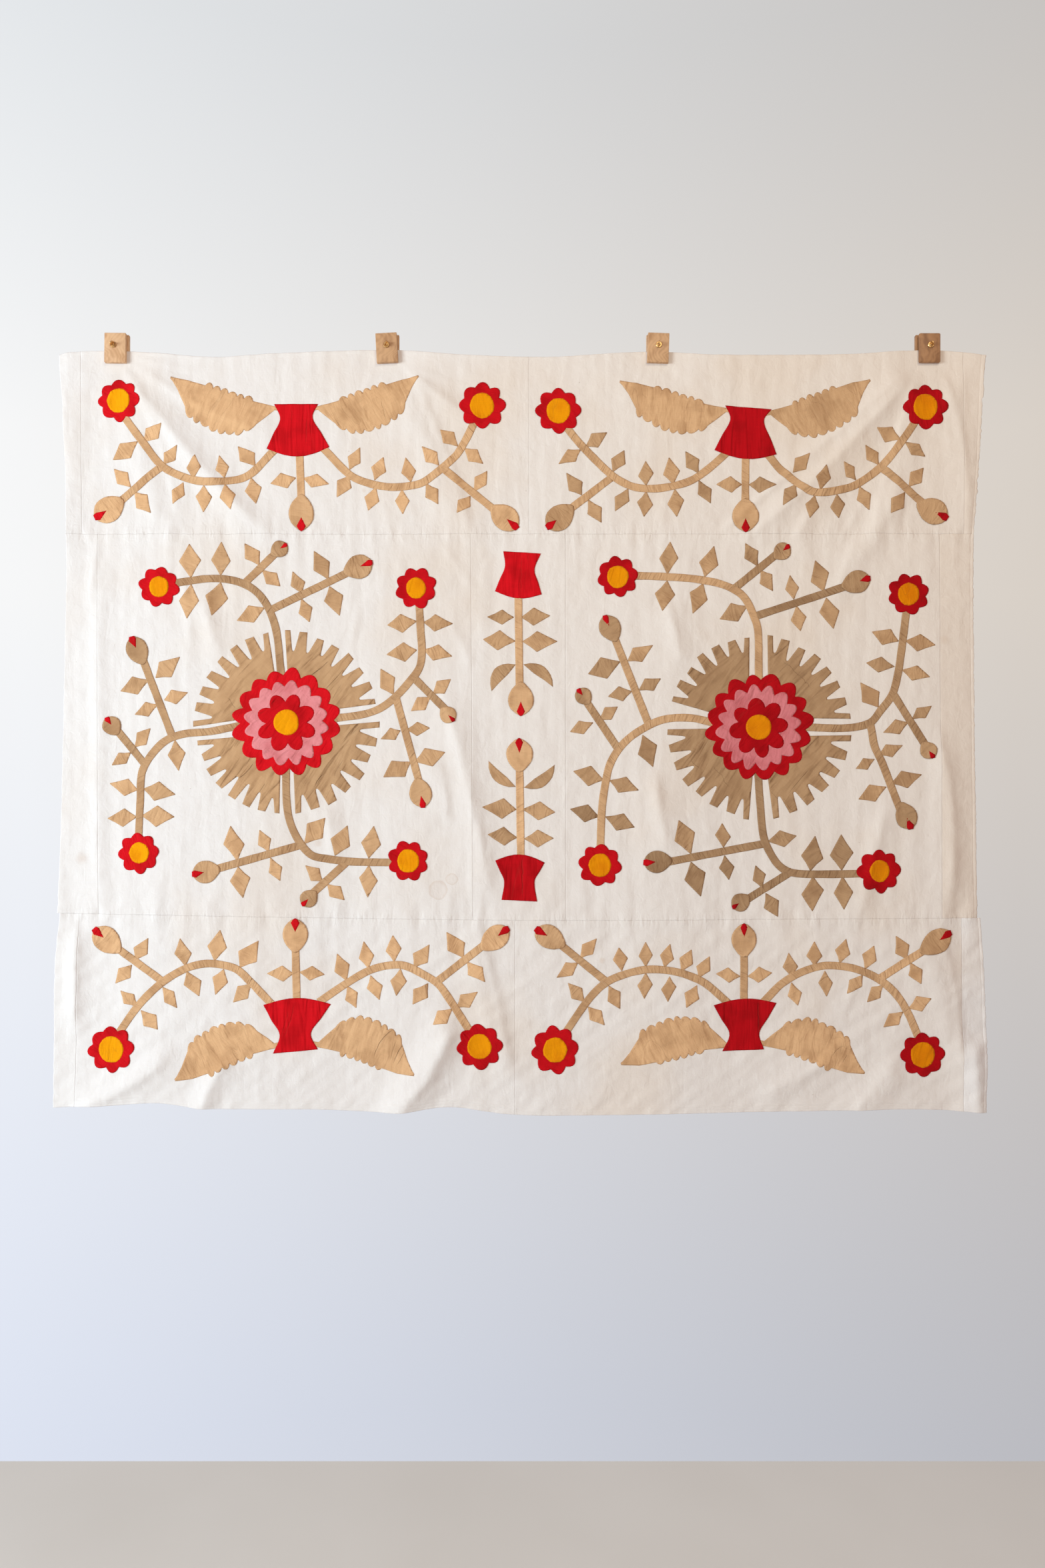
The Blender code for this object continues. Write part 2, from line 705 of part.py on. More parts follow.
def paddle_mesh(name):
    """The flat grip of a thumbscrew, its outer corners cut, rising from the neck along Z."""
    bm = bmesh.new()
    bmesh.ops.create_cube(bm, size=1)
    bmesh.ops.scale(bm, vec=(PADDLE_WIDTH, PADDLE_DEPTH, PADDLE_LENGTH), verts=bm.verts[:])
    middle = SHOULDER_DEPTH + NECK_DEPTH / 2 + PADDLE_LENGTH / 2
    bmesh.ops.translate(bm, vec=(0, 0, middle), verts=bm.verts[:])
    top = max(vert.co.z for vert in bm.verts)
    corners = [edge for edge in bm.edges if all(v.co.z > top - MM for v in edge.verts)
               and abs(edge.verts[0].co.x - edge.verts[1].co.x) < MM]
    bmesh.ops.bevel(bm, geom=corners, offset=PADDLE_WIDTH * 0.3, segments=2, affect="EDGES", profile=0.5)
    mesh = bpy.data.meshes.new(name)
    bm.to_mesh(mesh)
    bm.free()
    return mesh


class Hanger(NamedTuple):
    """A hanger: its front block's and grip's turns in degrees, its screw's and back block's offsets in mm."""

    block_turn: float
    grip_turn: float
    screw_offset: float
    back_offset: float


HANGERS = (
    Hanger(0.5, 45, -4, 4),
    Hanger(-3, 60, -0.5, 3),
    Hanger(2, 85, 1, -1.5),
    Hanger(0, -45, 1.5, -5),
)


def add_hanger(builder, number, middle, hanger):
    """Two blocks that grip the cloth's edge, and the thumbscrew through them."""
    name = f"hanger_{number}"
    jaw = BLOCK_DEPTH + GAP + CLOTH + GAP  # Y of the front block's back, from the wall
    front = jaw + BLOCK_DEPTH
    axis = Vector((middle + hanger.screw_offset * MM, 0, SCREW_Z))

    back_block = builder.part(name + "_back_block", block_mesh(name), "wood")
    back_block.location = (middle + hanger.back_offset * MM, -BLOCK_DEPTH / 2, 0)
    blind = builder.cutter(name + "_blind_hole", rod_mesh(name, SCREW_HOLE_RADIUS, 2 * SCREW_HOLE_DEPTH, 12))
    blind.location = axis - Vector((0, BLOCK_DEPTH, 0))
    builder.combine(back_block, blind, "DIFFERENCE")

    front_block = builder.part(name + "_front_block", block_mesh(name), "wood")
    front_block.location = (middle, -jaw - BLOCK_DEPTH / 2, 0)
    front_block.rotation_euler.y = math.radians(hanger.block_turn)
    hole = builder.cutter(name + "_hole", rod_mesh(name, SCREW_HOLE_RADIUS, 2 * BLOCK_DEPTH, 12))
    hole.location = axis - Vector((0, jaw + BLOCK_DEPTH / 2, 0))
    builder.combine(front_block, hole, "DIFFERENCE")

    reach = front - BLOCK_DEPTH + SCREW_HOLE_DEPTH / 2
    screw = builder.part(name + "_thumbscrew", screw_profile(name, reach), "brass")
    turning = screw.modifiers.new("turning", "SCREW")
    turning.steps = turning.render_steps = 12
    turning.use_merge_vertices = True
    turning.merge_threshold = 0.00001
    builder.combine(screw, builder.cutter(name + "_grip", paddle_mesh(name)), "UNION")
    stand = Matrix.Translation(axis - Vector((0, front + GAP, 0))) @ Matrix.Rotation(math.pi / 2, 4, "X")
    screw.matrix_world = stand
    grip = bpy.data.objects[name + "_grip"]
    grip.matrix_world = stand @ Matrix.Rotation(math.radians(hanger.grip_turn), 4, "Z")


def main():
    """Builds the quilt top and its hangers."""
    clear_scene()
    builder = Builder()
    panels = make_panels()
    for name, panel in panels.items():
        builder.part("ground_" + name, panel.sheet(name, CLOTH, -CLOTH / 2), "cotton")
    for pot in POTS:
        builder.patch(pot.name, panels[pot.panel], pot_outline(pot), "red", 0)
    for feather in FEATHERS:
        builder.patch(feather.name, panels[feather.panel], feather_outline(feather), "tan", 0)
    for rosette in ROSETTES:
        panel = panels[rosette.panel]
        for quarter in range(4):
            name = f"{rosette.name}_fringe_{quarter + 1}"
            builder.patch(name, panel, fringe_outline(rosette, quarter), "tan", 0)
        for ring in RINGS:
            name = f"{rosette.name}_{ring.name}"
            builder.patch(name, panel, ring_outline(rosette, ring), ring.colour, ring.level)
    for number, (middle, hanger) in enumerate(zip(HANGER_X, HANGERS), 1):
        add_hanger(builder, number, middle, hanger)


main()
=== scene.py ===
"""The looks of an applique quilt top that hangs from four wooden clamp hangers.

The ground is thirteen fine sheets on the folds of their solids. Pots, feathers, rosettes,
stems, leaves, buds and flowers are cut flat and laid on the hanging cloth. Tables and
outlines are in millimetres, with X across and Z up, and meshes are in metres.
"""

import logging
import math
from dataclasses import dataclass, field
from enum import Enum
from typing import NamedTuple

import bmesh
import bpy
import numpy as np
from mathutils import Matrix, Vector


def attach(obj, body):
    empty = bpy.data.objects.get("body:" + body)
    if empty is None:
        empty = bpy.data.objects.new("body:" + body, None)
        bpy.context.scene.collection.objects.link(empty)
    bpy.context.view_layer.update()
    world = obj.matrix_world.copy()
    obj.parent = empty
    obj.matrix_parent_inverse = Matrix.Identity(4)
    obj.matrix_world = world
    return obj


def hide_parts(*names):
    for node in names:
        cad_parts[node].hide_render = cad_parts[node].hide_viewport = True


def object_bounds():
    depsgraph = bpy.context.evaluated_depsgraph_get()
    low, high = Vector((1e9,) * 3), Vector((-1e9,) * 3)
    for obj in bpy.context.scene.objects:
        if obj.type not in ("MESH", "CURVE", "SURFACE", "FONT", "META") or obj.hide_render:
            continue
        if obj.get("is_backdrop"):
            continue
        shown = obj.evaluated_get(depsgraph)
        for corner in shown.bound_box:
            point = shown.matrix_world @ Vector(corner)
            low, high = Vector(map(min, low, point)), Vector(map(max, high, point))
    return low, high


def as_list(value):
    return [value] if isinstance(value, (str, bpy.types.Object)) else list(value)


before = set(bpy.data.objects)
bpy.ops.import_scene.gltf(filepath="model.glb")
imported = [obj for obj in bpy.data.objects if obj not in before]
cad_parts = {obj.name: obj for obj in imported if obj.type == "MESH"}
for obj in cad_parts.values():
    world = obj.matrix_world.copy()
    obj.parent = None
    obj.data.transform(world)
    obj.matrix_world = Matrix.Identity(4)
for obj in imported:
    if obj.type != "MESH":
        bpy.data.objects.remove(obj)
CAD_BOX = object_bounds()

log = logging.getLogger("quilt_top")

MM = 0.001

# Sizes of the solids, in mm
HANGER_X = (-975, -325, 325, 975)
BLOCK_WIDTH = 51
BLOCK_HEIGHT = 70
BLOCK_DEPTH = 9.5
BLOCK_EDGE = 1.2
GAP = 0.3
SOLID_CLOTH = 1.2
CLAMPED_ACROSS = 29
CLAMPED_DOWN = 40
CLAMP_FADE = 80
LEAN = 8
WAVE_ROOM = 4
DROP = 1820
JAW_MIDDLE = BLOCK_DEPTH + GAP + SOLID_CLOTH / 2
JAW_FRONT = BLOCK_DEPTH + GAP + SOLID_CLOTH + GAP

# The fine cloth, in mm
CLOTH = 0.9
CELL = 6.0
FINE_CELL = 2.6  # between the rows of the frayed strips
TURN = 1.5  # width of the rounded edge of a turned seam or patch
SEAM_GAP = 0.02
HEM_ROWS = (4, 5, 6, 11.5, 12.3, 13, 13.7, 14.5, 19.5, 20.3, 21, 21.7, 22.5)  # extra rows above the hem
TOP_ROWS = (6.3, 7.2, 8, 8.8, 9.7)  # and below the top edge
SELVAGE_COLUMNS = (5.5, 6.3, 7, 7.7, 8.5)  # extra columns inside the right edge
PATCH = 0.35
PATCH_EDGE = 0.3
PATCH_SWELL = 0.25
PATCH_PILLOW = 0.12
LEVEL_STEP = 0.6
FOLD_REACH = 1.1  # how wide the main folds are against those of the solids
FOLD_RISE = 0.95  # and how high
CREASE_RISE = 0.95  # how high the creases are against their table
SEAM_SINK = (0.06, 0.01)  # how far the edge of a seamed side and the line beside it lie back
FRAY_FOOT = (-460, -380)  # heights between which the fraying of the right edge begins
FRAY_HEAD = (-130, -60)  # and between which it ends
SELVAGE = 7  # how far inside the right edge its woven line is
SELVAGE_REACH = 1.2
SELVAGE_DENT = 0.5
CLOTH_SEED = 11
PATCH_SEED = 5

# How many patches lie under each kind of patch
SIDE_STEM_LEVEL = 0.35
STEM_LEVEL = 0.5
POT_LEVEL = 1
FLOWER_LEVEL = 1.2
BUD_LEVEL = 1.7
FLOWER_MIDDLE_LEVEL = 2.1
BUD_TIP_LEVEL = 2.3

# Tints that darken a patch, as linear colours: for its slubs, for its stitches with a painted shadow along
# its edge, and for painted shade in its creases
SLUB_TINT = (0.82, 0.80, 0.78, 1)
STITCH_AND_EDGE_SHADOW_TINT = (0.30, 0.20, 0.16, 1)
CREASE_SHADE_TINT = (0.08, 0.05, 0.03, 1)

Spot = tuple[float, float]
Points = tuple[Spot, ...]
Outline = list[Spot]
Tone = tuple[int, int, int]
Socket = bpy.types.NodeSocket

# The outline, as (z, x) down the sides and (x, z) along the top and the hem
LEFT_UPPER = (
    (0, -1110), (-40, -1111), (-130, -1103), (-430, -1092), (-740, -1097), (-1140, -1105), (-1360, -1113),
)
LEFT_LOWER = ((-1340, -1105), (-1470, -1118), (-1670, -1121), (-1840, -1122))
RIGHT_UPPER = ((0, 1112), (-85, 1105), (-250, 1096), (-440, 1081), (-920, 1082), (-1370, 1087))
RIGHT_LOWER = ((-1350, 1094), (-1500, 1103), (-1655, 1108), (-1840, 1101))
TOP_EDGE = (
    (-1120, -18), (-1085, -9), (-1000, -4), (-950, -5), (-840, -14), (-738, -21), (-595, -12),
    (-350, -2), (-300, -2), (-170, -13), (54, -21), (160, -15), (300, -6), (350, -7), (445, -14),
    (635, -15), (795, -13), (945, -3), (1000, -3), (1120, -17),
)
SEAM_1 = ((-1120, -445), (1120, -445))
SEAM_2 = ((-1120, -1353), (0, -1370), (1120, -1364))
HEM = (
    (-1130, -1818), (-975, -1811), (-875, -1806), (-765, -1818), (-520, -1822), (-305, -1828),
    (-172, -1816), (-45, -1832), (90, -1836), (360, -1832), (700, -1826), (930, -1820), (1110, -1826),
)


def table_of(kind: type, *rows: tuple) -> tuple:
    """Things of one kind from the rows of a table, which hold their fields in order."""
    return tuple(kind(*row) for row in rows)


def eased(value: np.ndarray, low: float, high: float) -> np.ndarray:
    """0 below low, 1 above high, and a smooth rise between them."""
    share = np.clip((value - low) / (high - low), 0, 1)
    return share * share * (3 - 2 * share)


@dataclass(frozen=True)
class SmoothLine:
    """A smooth height over one direction, through a few points."""

    points: Points

    def at(self, places: np.ndarray) -> np.ndarray:
        """The heights at some places.

        Args:
            places: Places along the line, in mm.

        Returns:
            The height at each place, in mm.
        """
        rows = np.array(sorted(self.points), float)
        k = np.clip(np.searchsorted(rows[:, 0], places, side="left") - 1, 0, len(rows) - 2)
        before, start = rows[np.maximum(k - 1, 0)], rows[k]
        end, after = rows[k + 1], rows[np.minimum(k + 2, len(rows) - 1)]
        span = end[..., 0] - start[..., 0]
        share = np.clip((places - start[..., 0]) / span, 0, 1)
        slope_in = (end[..., 1] - before[..., 1]) / (end[..., 0] - before[..., 0]) * span
        slope_out = (after[..., 1] - start[..., 1]) / (after[..., 0] - start[..., 0]) * span
        square, cube = share**2, share**3
        return (
            (2 * cube - 3 * square + 1) * start[..., 1]
            + (cube - 2 * square + share) * slope_in
            + (3 * square - 2 * cube) * end[..., 1]
            + (cube - square) * slope_out
        )

    def at_zero(self) -> float:
        """The height at place 0, in mm."""
        return float(self.at(np.zeros(1))[0])


class SoftNoise:
    """Smooth random heights over a plane, mostly from -1 to 1, the same on each run."""

    SIZE = 256

    def __init__(self, seed: int) -> None:
        """Draws the slopes of the lattice."""
        angles = np.random.default_rng(seed).uniform(0, 2 * math.pi, (self.SIZE, self.SIZE))
        self.lean_u, self.lean_v = np.cos(angles), np.sin(angles)

    def at(self, u: np.ndarray, v: np.ndarray) -> np.ndarray:
        """The height at some places of the plane.

        Args:
            u: First coordinate, where a swell is about 1 long.
            v: Second coordinate.

        Returns:
            The heights.
        """
        cell_u, cell_v = np.floor(u).astype(int), np.floor(v).astype(int)
        in_u, in_v = u - cell_u, v - cell_v
        weight_u = in_u**3 * (in_u * (in_u * 6 - 15) + 10)
        weight_v = in_v**3 * (in_v * (in_v * 6 - 15) + 10)
        total = 0.0
        for step_u, share_u in ((0, 1 - weight_u), (1, weight_u)):
            for step_v, share_v in ((0, 1 - weight_v), (1, weight_v)):
                a, b = (cell_u + step_u) % self.SIZE, (cell_v + step_v) % self.SIZE
                slope = self.lean_u[a, b] * (in_u - step_u) + self.lean_v[a, b] * (in_v - step_v)
                total = total + share_u * share_v * slope
        return 1.5 * total


class Fold(NamedTuple):
    """A soft ridge between two ends, in mm: its bow sideways, its reach to each side and its rise."""

    x0: float
    z0: float
    x1: float
    z1: float
    bow: float
    reach: float
    rise: float

    def rise_at(self, x: np.ndarray, z: np.ndarray) -> np.ndarray:
        """How far the fold lifts the cloth at some places.

        Args:
            x: Places across, in mm.
            z: Their heights, in mm.

        Returns:
            The rise towards the front, in mm.
        """
        run_x, run_z = self.x1 - self.x0, self.z1 - self.z0
        length = math.hypot(run_x, run_z)
        along = ((x - self.x0) * run_x + (z - self.z0) * run_z) / length**2
        aside = ((x - self.x0) * run_z - (z - self.z0) * run_x) / length
        within = np.clip(along, 0, 1)
        off = aside - 4 * self.bow * within * (1 - within)
        ends = eased(along, -0.05, 0.25) * (1 - eased(along, 0.8, 1.1))
        return self.rise * ends * np.exp(-((off / self.reach) ** 2))


MAIN_FOLDS = table_of(
    Fold,
    # Fan from the first hanger
    (-950, -40, -600, -460, 18, 30, 9), (-940, -30, -600, -205, 12, 26, 5),
    (-955, -45, -850, -470, 12, 30, 5), (-1085, -90, -1080, -560, 0, 26, 5),
    # Fan from the second hanger
    (-295, -35, -95, -195, 8, 24, 5), (-300, -45, -110, -480, 14, 30, 6),
    # Fan from the fourth hanger
    (950, -38, 520, -470, -20, 30, 10), (944, -32, 580, -335, -10, 24, 5),
    (955, -45, 850, -470, -10, 26, 5), (1000, -38, 1060, -440, -16, 30, 5),
    (760, -300, 640, -470, 0, 24, 5), (905, -330, 800, -520, 0, 24, 5),
    # Middle band, mostly upright
    (-1016, -440, -1014, -1370, 0, 22, 4), (-780, -560, -715, -760, 0, 28, 5),
    (-180, -800, -85, -1345, -8, 30, 9), (-230, -950, -175, -1130, 0, 26, 4),
    (-480, -1080, -450, -1230, 0, 26, 4), (345, -600, 385, -770, 0, 28, 6),
    (310, -1010, 350, -1230, 0, 30, 6), (985, -900, 1010, -1360, -22, 28, 7),
    (880, -1060, 790, -1400, 0, 28, 5), (820, -470, 745, -620, 0, 24, 4),
    # Bottom band, running to the hem
    (-1068, -1380, -1072, -1640, 0, 22, 8), (-1090, -1830, -830, -1690, 10, 32, 12),
    (-790, -1870, -690, -1690, -8, 28, 9), (-345, -1880, -160, -1600, 14, 38, 18),
    (-120, -1370, -20, -1760, 18, 28, 7), (560, -1800, 760, -1690, 0, 28, 6),
    (760, -1870, 900, -1710, 8, 32, 9), (975, -1380, 1045, -1700, 10, 28, 6),
    (1070, -1640, 1090, -1900, 0, 45, 17),
)

CREASES = table_of(
    Fold,
    # From the first hanger
    (-958, -38, -630, -426, 17, 11, 3.0), (-942, -26, -614, -202, 20, 9, 2.2),
    (-934, -20, -774, -58, 0, 6, 1.2), (-956, -39, -822, -426, -22, 9, 2.4),
    (-1098, -90, -1098, -230, 0, 9, 1.8), (-1094, -346, -1094, -490, 0, 9, 1.8),
    # From the second hanger
    (-290, -34, -126, -162, 7, 8, 2.0), (-266, -60, -126, -442, -12, 10, 2.6),
    (-285, -34, -60, -110, 8, 7, 1.2), (-350, -34, -390, -122, 0, 8, 1.4),
    (-214, -440, -118, -570, 0, 11, 2.2), (-174, -650, -118, -762, 0, 11, 2.2),
    # From the third hanger
    (352, -30, 430, -90, 0, 8, 1.0), (297, -34, 250, -120, 0, 8, 1.0),
    # From the fourth hanger
    (950, -42, 554, -442, -13, 11, 3.2), (945, -34, 474, -442, 0, 9, 2.4),
    (959, -39, 842, -426, 8, 9, 2.2), (999, -36, 1066, -442, -22, 10, 2.6),
    (634, -300, 466, -450, 0, 8, 2.0), (746, -300, 650, -460, 0, 8, 2.0),
    (842, -320, 766, -460, 0, 8, 2.0), (914, -360, 882, -460, 0, 7, 1.6),
    # Middle band, left
    (-1014, -450, -1038, -610, 0, 9, 2.2), (-766, -600, -726, -730, 0, 11, 2.2),
    (-814, -540, -790, -710, 0, 9, 1.8), (-390, -610, -406, -700, 0, 9, 1.8),
    (-206, -778, -78, -1290, -8, 11, 2.6), (-124, -960, -121, -1350, 0, 6, 1.6),
    (-198, -980, -174, -1140, 0, 9, 2.2), (-470, -1080, -454, -1200, 0, 9, 1.8),
    (-854, -1210, -870, -1360, 0, 10, 1.8),
    # Middle band, right
    (346, -600, 378, -745, 0, 11, 2.8), (314, -1025, 346, -1200, 0, 11, 2.8),
    (986, -905, 1015, -1330, -24, 11, 3.0), (874, -1070, 802, -1370, 0, 11, 2.6),
    (794, -460, 746, -600, 0, 10, 2.0),
    # Bottom band
    (-1065, -1362, -1070, -1620, 0, 8, 2.8), (-1074, -1825, -854, -1706, 10, 12, 3.2),
    (-766, -1825, -702, -1700, -7, 11, 3.0), (-310, -1840, -166, -1610, 20, 13, 4.5),
    (-110, -1365, -30, -1722, -7, 10, 2.6), (570, -1790, 746, -1700, 0, 10, 2.2),
    (786, -1835, 890, -1720, -7, 11, 3.0), (986, -1375, 1042, -1700, -18, 10, 2.6),
    (794, -1505, 762, -1620, 0, 9, 1.8), (1074, -1650, 1082, -1840, 0, 13, 3.6),
)


class Wave(NamedTuple):
    """A broad undulation across the cloth: length and shift in mm, and its rise at the top and hem."""

    length: float
    shift: float
    rise_top: float
    rise_hem: float


WAVES = (Wave(930, 120, 0.6, 2.6), Wave(545, 310, 0.4, 2.0), Wave(310, 40, 0.3, 1.2))


@dataclass
class Cloth:
    """The form in which the ground hangs: how far forward its middle stands at any place."""

    noise: SoftNoise = field(default_factory=lambda: SoftNoise(CLOTH_SEED))
    seams: tuple[SmoothLine, ...] = (SmoothLine(SEAM_1), SmoothLine(SEAM_2))
    hem: SmoothLine = SmoothLine(HEM)
    top: SmoothLine = SmoothLine(TOP_EDGE)
    folds: tuple[Fold, ...] = tuple(
        fold._replace(reach=FOLD_REACH * fold.reach, rise=FOLD_RISE * fold.rise) for fold in MAIN_FOLDS
    )
    hem_lines: tuple[float, ...] = (5, 13, 21)
    top_hem_depth: float = 8

    def clear_of_clamps(self, x: np.ndarray, z: np.ndarray, fade: float) -> np.ndarray:
        """0 where a hanger grips the cloth, growing to 1 away from it.

        Args:
            x: Places across, in mm.
            z: Their heights, in mm.
            fade: How far from a clamp it reaches 1, in mm.

        Returns:
            A share from 0 to 1 at each place.
        """
        nearest = np.ones_like(x)
        for middle in HANGER_X:
            across = np.maximum(0, np.abs(x - middle) - CLAMPED_ACROSS)
            below = np.maximum(0, -CLAMPED_DOWN - z)
            nearest = np.minimum(nearest, eased(np.hypot(across, below), 0, fade))
        return nearest

    def puckers(self, x: np.ndarray, z: np.ndarray) -> np.ndarray:
        """The short upright gathers above and below the two long seams.

        Args:
            x: Places across, in mm.
            z: Their heights, in mm.

        Returns:
            Their rise at each place, in mm.
        """
        rise = np.zeros_like(x)
        for number, seam in enumerate(self.seams):
            off = z - seam.at(x)
            shift = 37 * number
            tight = 0.7 + 0.5 * self.noise.at(x / 140 + shift, np.zeros_like(x))
            rise += 1.9 * tight * self.noise.at(x / 14 + shift, off / 60) * np.exp(-np.abs(off) / 22)
            rise += 2.4 * self.noise.at(x / 33, off / 130 + shift) * np.exp(-np.abs(off) / 65)
            rise -= 0.2 * np.exp(-((off / 2.2) ** 2))
        return rise

    def gathered(self, x: np.ndarray, z: np.ndarray) -> np.ndarray:
        """How tightly the cloth is gathered by a long seam.

        Args:
            x: Places across, in mm.
            z: Their heights, in mm.

        Returns:
            A share from 0 to 1 at each place.
        """
        total = np.zeros_like(x)
        for number, seam in enumerate(self.seams):
            tight = 0.6 + 0.5 * self.noise.at(x / 45 + 37 * number, np.zeros_like(x))
            total += tight * np.exp(-(((z - seam.at(x)) / 15) ** 2))
        return np.clip(total, 0, 1)

    def pulled(self, x: np.ndarray, z: np.ndarray) -> np.ndarray:
        """Z with the long seams drawn a little up and down by their stitches.

        Args:
            x: Places across, in mm.
            z: Their heights, in mm.

        Returns:
            The heights as they are pulled, in mm.
        """
        moved = z.copy()
        for number, seam in enumerate(self.seams):
            off = np.abs(z - seam.at(x))
            moved += 0.7 * self.noise.at(x / 12 + 61 * number, np.zeros_like(x)) * np.exp(-off / 9)
        return moved

    def crumples(self, x: np.ndarray, z: np.ndarray) -> np.ndarray:
        """The slight unevenness of washed cloth that has hung for a while.

        Args:
            x: Places across, in mm.
            z: Their heights, in mm.

        Returns:
            Its rise at each place, in mm.
        """
        low = eased(-z, 1250, 1500)
        rise = (1.0 - 0.45 * low) * self.noise.at(x / 27, z / 230)
        rise += 0.8 * self.noise.at(x / 46, z / 58 + 90)
        rise += (0.4 + 1.3 * low) * self.noise.at((x - 1.3 * z) / 40, (x + z) / 140)
        rise += 0.5 * self.noise.at((x + 1.2 * z) / 36 + 40, (x - z) / 120 + 60)
        return rise + 0.34 * self.noise.at(x / 15 + 50, z / 26)

    def hems(self, x: np.ndarray, z: np.ndarray) -> np.ndarray:
        """The doubled cloth of the hem and the top edge, with the dents of their sewing.

        Args:
            x: Places across, in mm.
            z: Their heights, in mm.

        Returns:
            Its rise at each place, in mm.
        """
        wander = 0.5 * self.noise.at(x / 60, np.zeros_like(x))
        above_hem = z - self.hem.at(x) + wander
        below_top = self.top.at(x) - z + wander
        rise = 0.4 * (1 - eased(above_hem, self.hem_lines[-1], self.hem_lines[-1] + 2))
        for line in self.hem_lines:
            worn = 0.3 + 0.2 * self.noise.at(x / 90 + line, np.zeros_like(x))
            rise -= worn * np.exp(-(((above_hem - line) / 1.1) ** 2))
        rise += 0.4 * (1 - eased(below_top, self.top_hem_depth, self.top_hem_depth + 2))
        return rise - 0.35 * np.exp(-(((below_top - self.top_hem_depth) / 1.2) ** 2))

    def middle(self, x: np.ndarray, z: np.ndarray) -> np.ndarray:
        """Y of the middle of the ground.

        Args:
            x: Places across, in mm.
            z: Their heights, in mm.

        Returns:
            Y in mm, which is negative, because the backs of the hangers are at Y = 0.
        """
        down = eased(-z, 0, DROP)
        free = LEAN * down + WAVE_ROOM
        for fold in self.folds:
            free = free + fold.rise_at(x, z)
        for wave in WAVES:
            height = wave.rise_top + (wave.rise_hem - wave.rise_top) * down
            free = free + height * np.sin(2 * math.pi * (x + wave.shift) / wave.length)
        fine = self.puckers(x, z) + self.crumples(x, z) + self.hems(x, z)
        for crease in CREASES:
            fine = fine + CREASE_RISE * crease.rise_at(x, z)
        solid = free * self.clear_of_clamps(x, z, CLAMP_FADE)
        return -(JAW_MIDDLE + solid + fine * self.clear_of_clamps(x, z, CLAMP_FADE / 4))


def linear(red: int, green: int, blue: int) -> tuple[float, float, float, float]:
    """A screen colour from 0 to 255 as the linear colour of a shader."""
    shares = [value / 255 for value in (red, green, blue)]
    return (*(s / 12.92 if s < 0.04045 else ((s + 0.055) / 1.055) ** 2.4 for s in shares), 1.0)


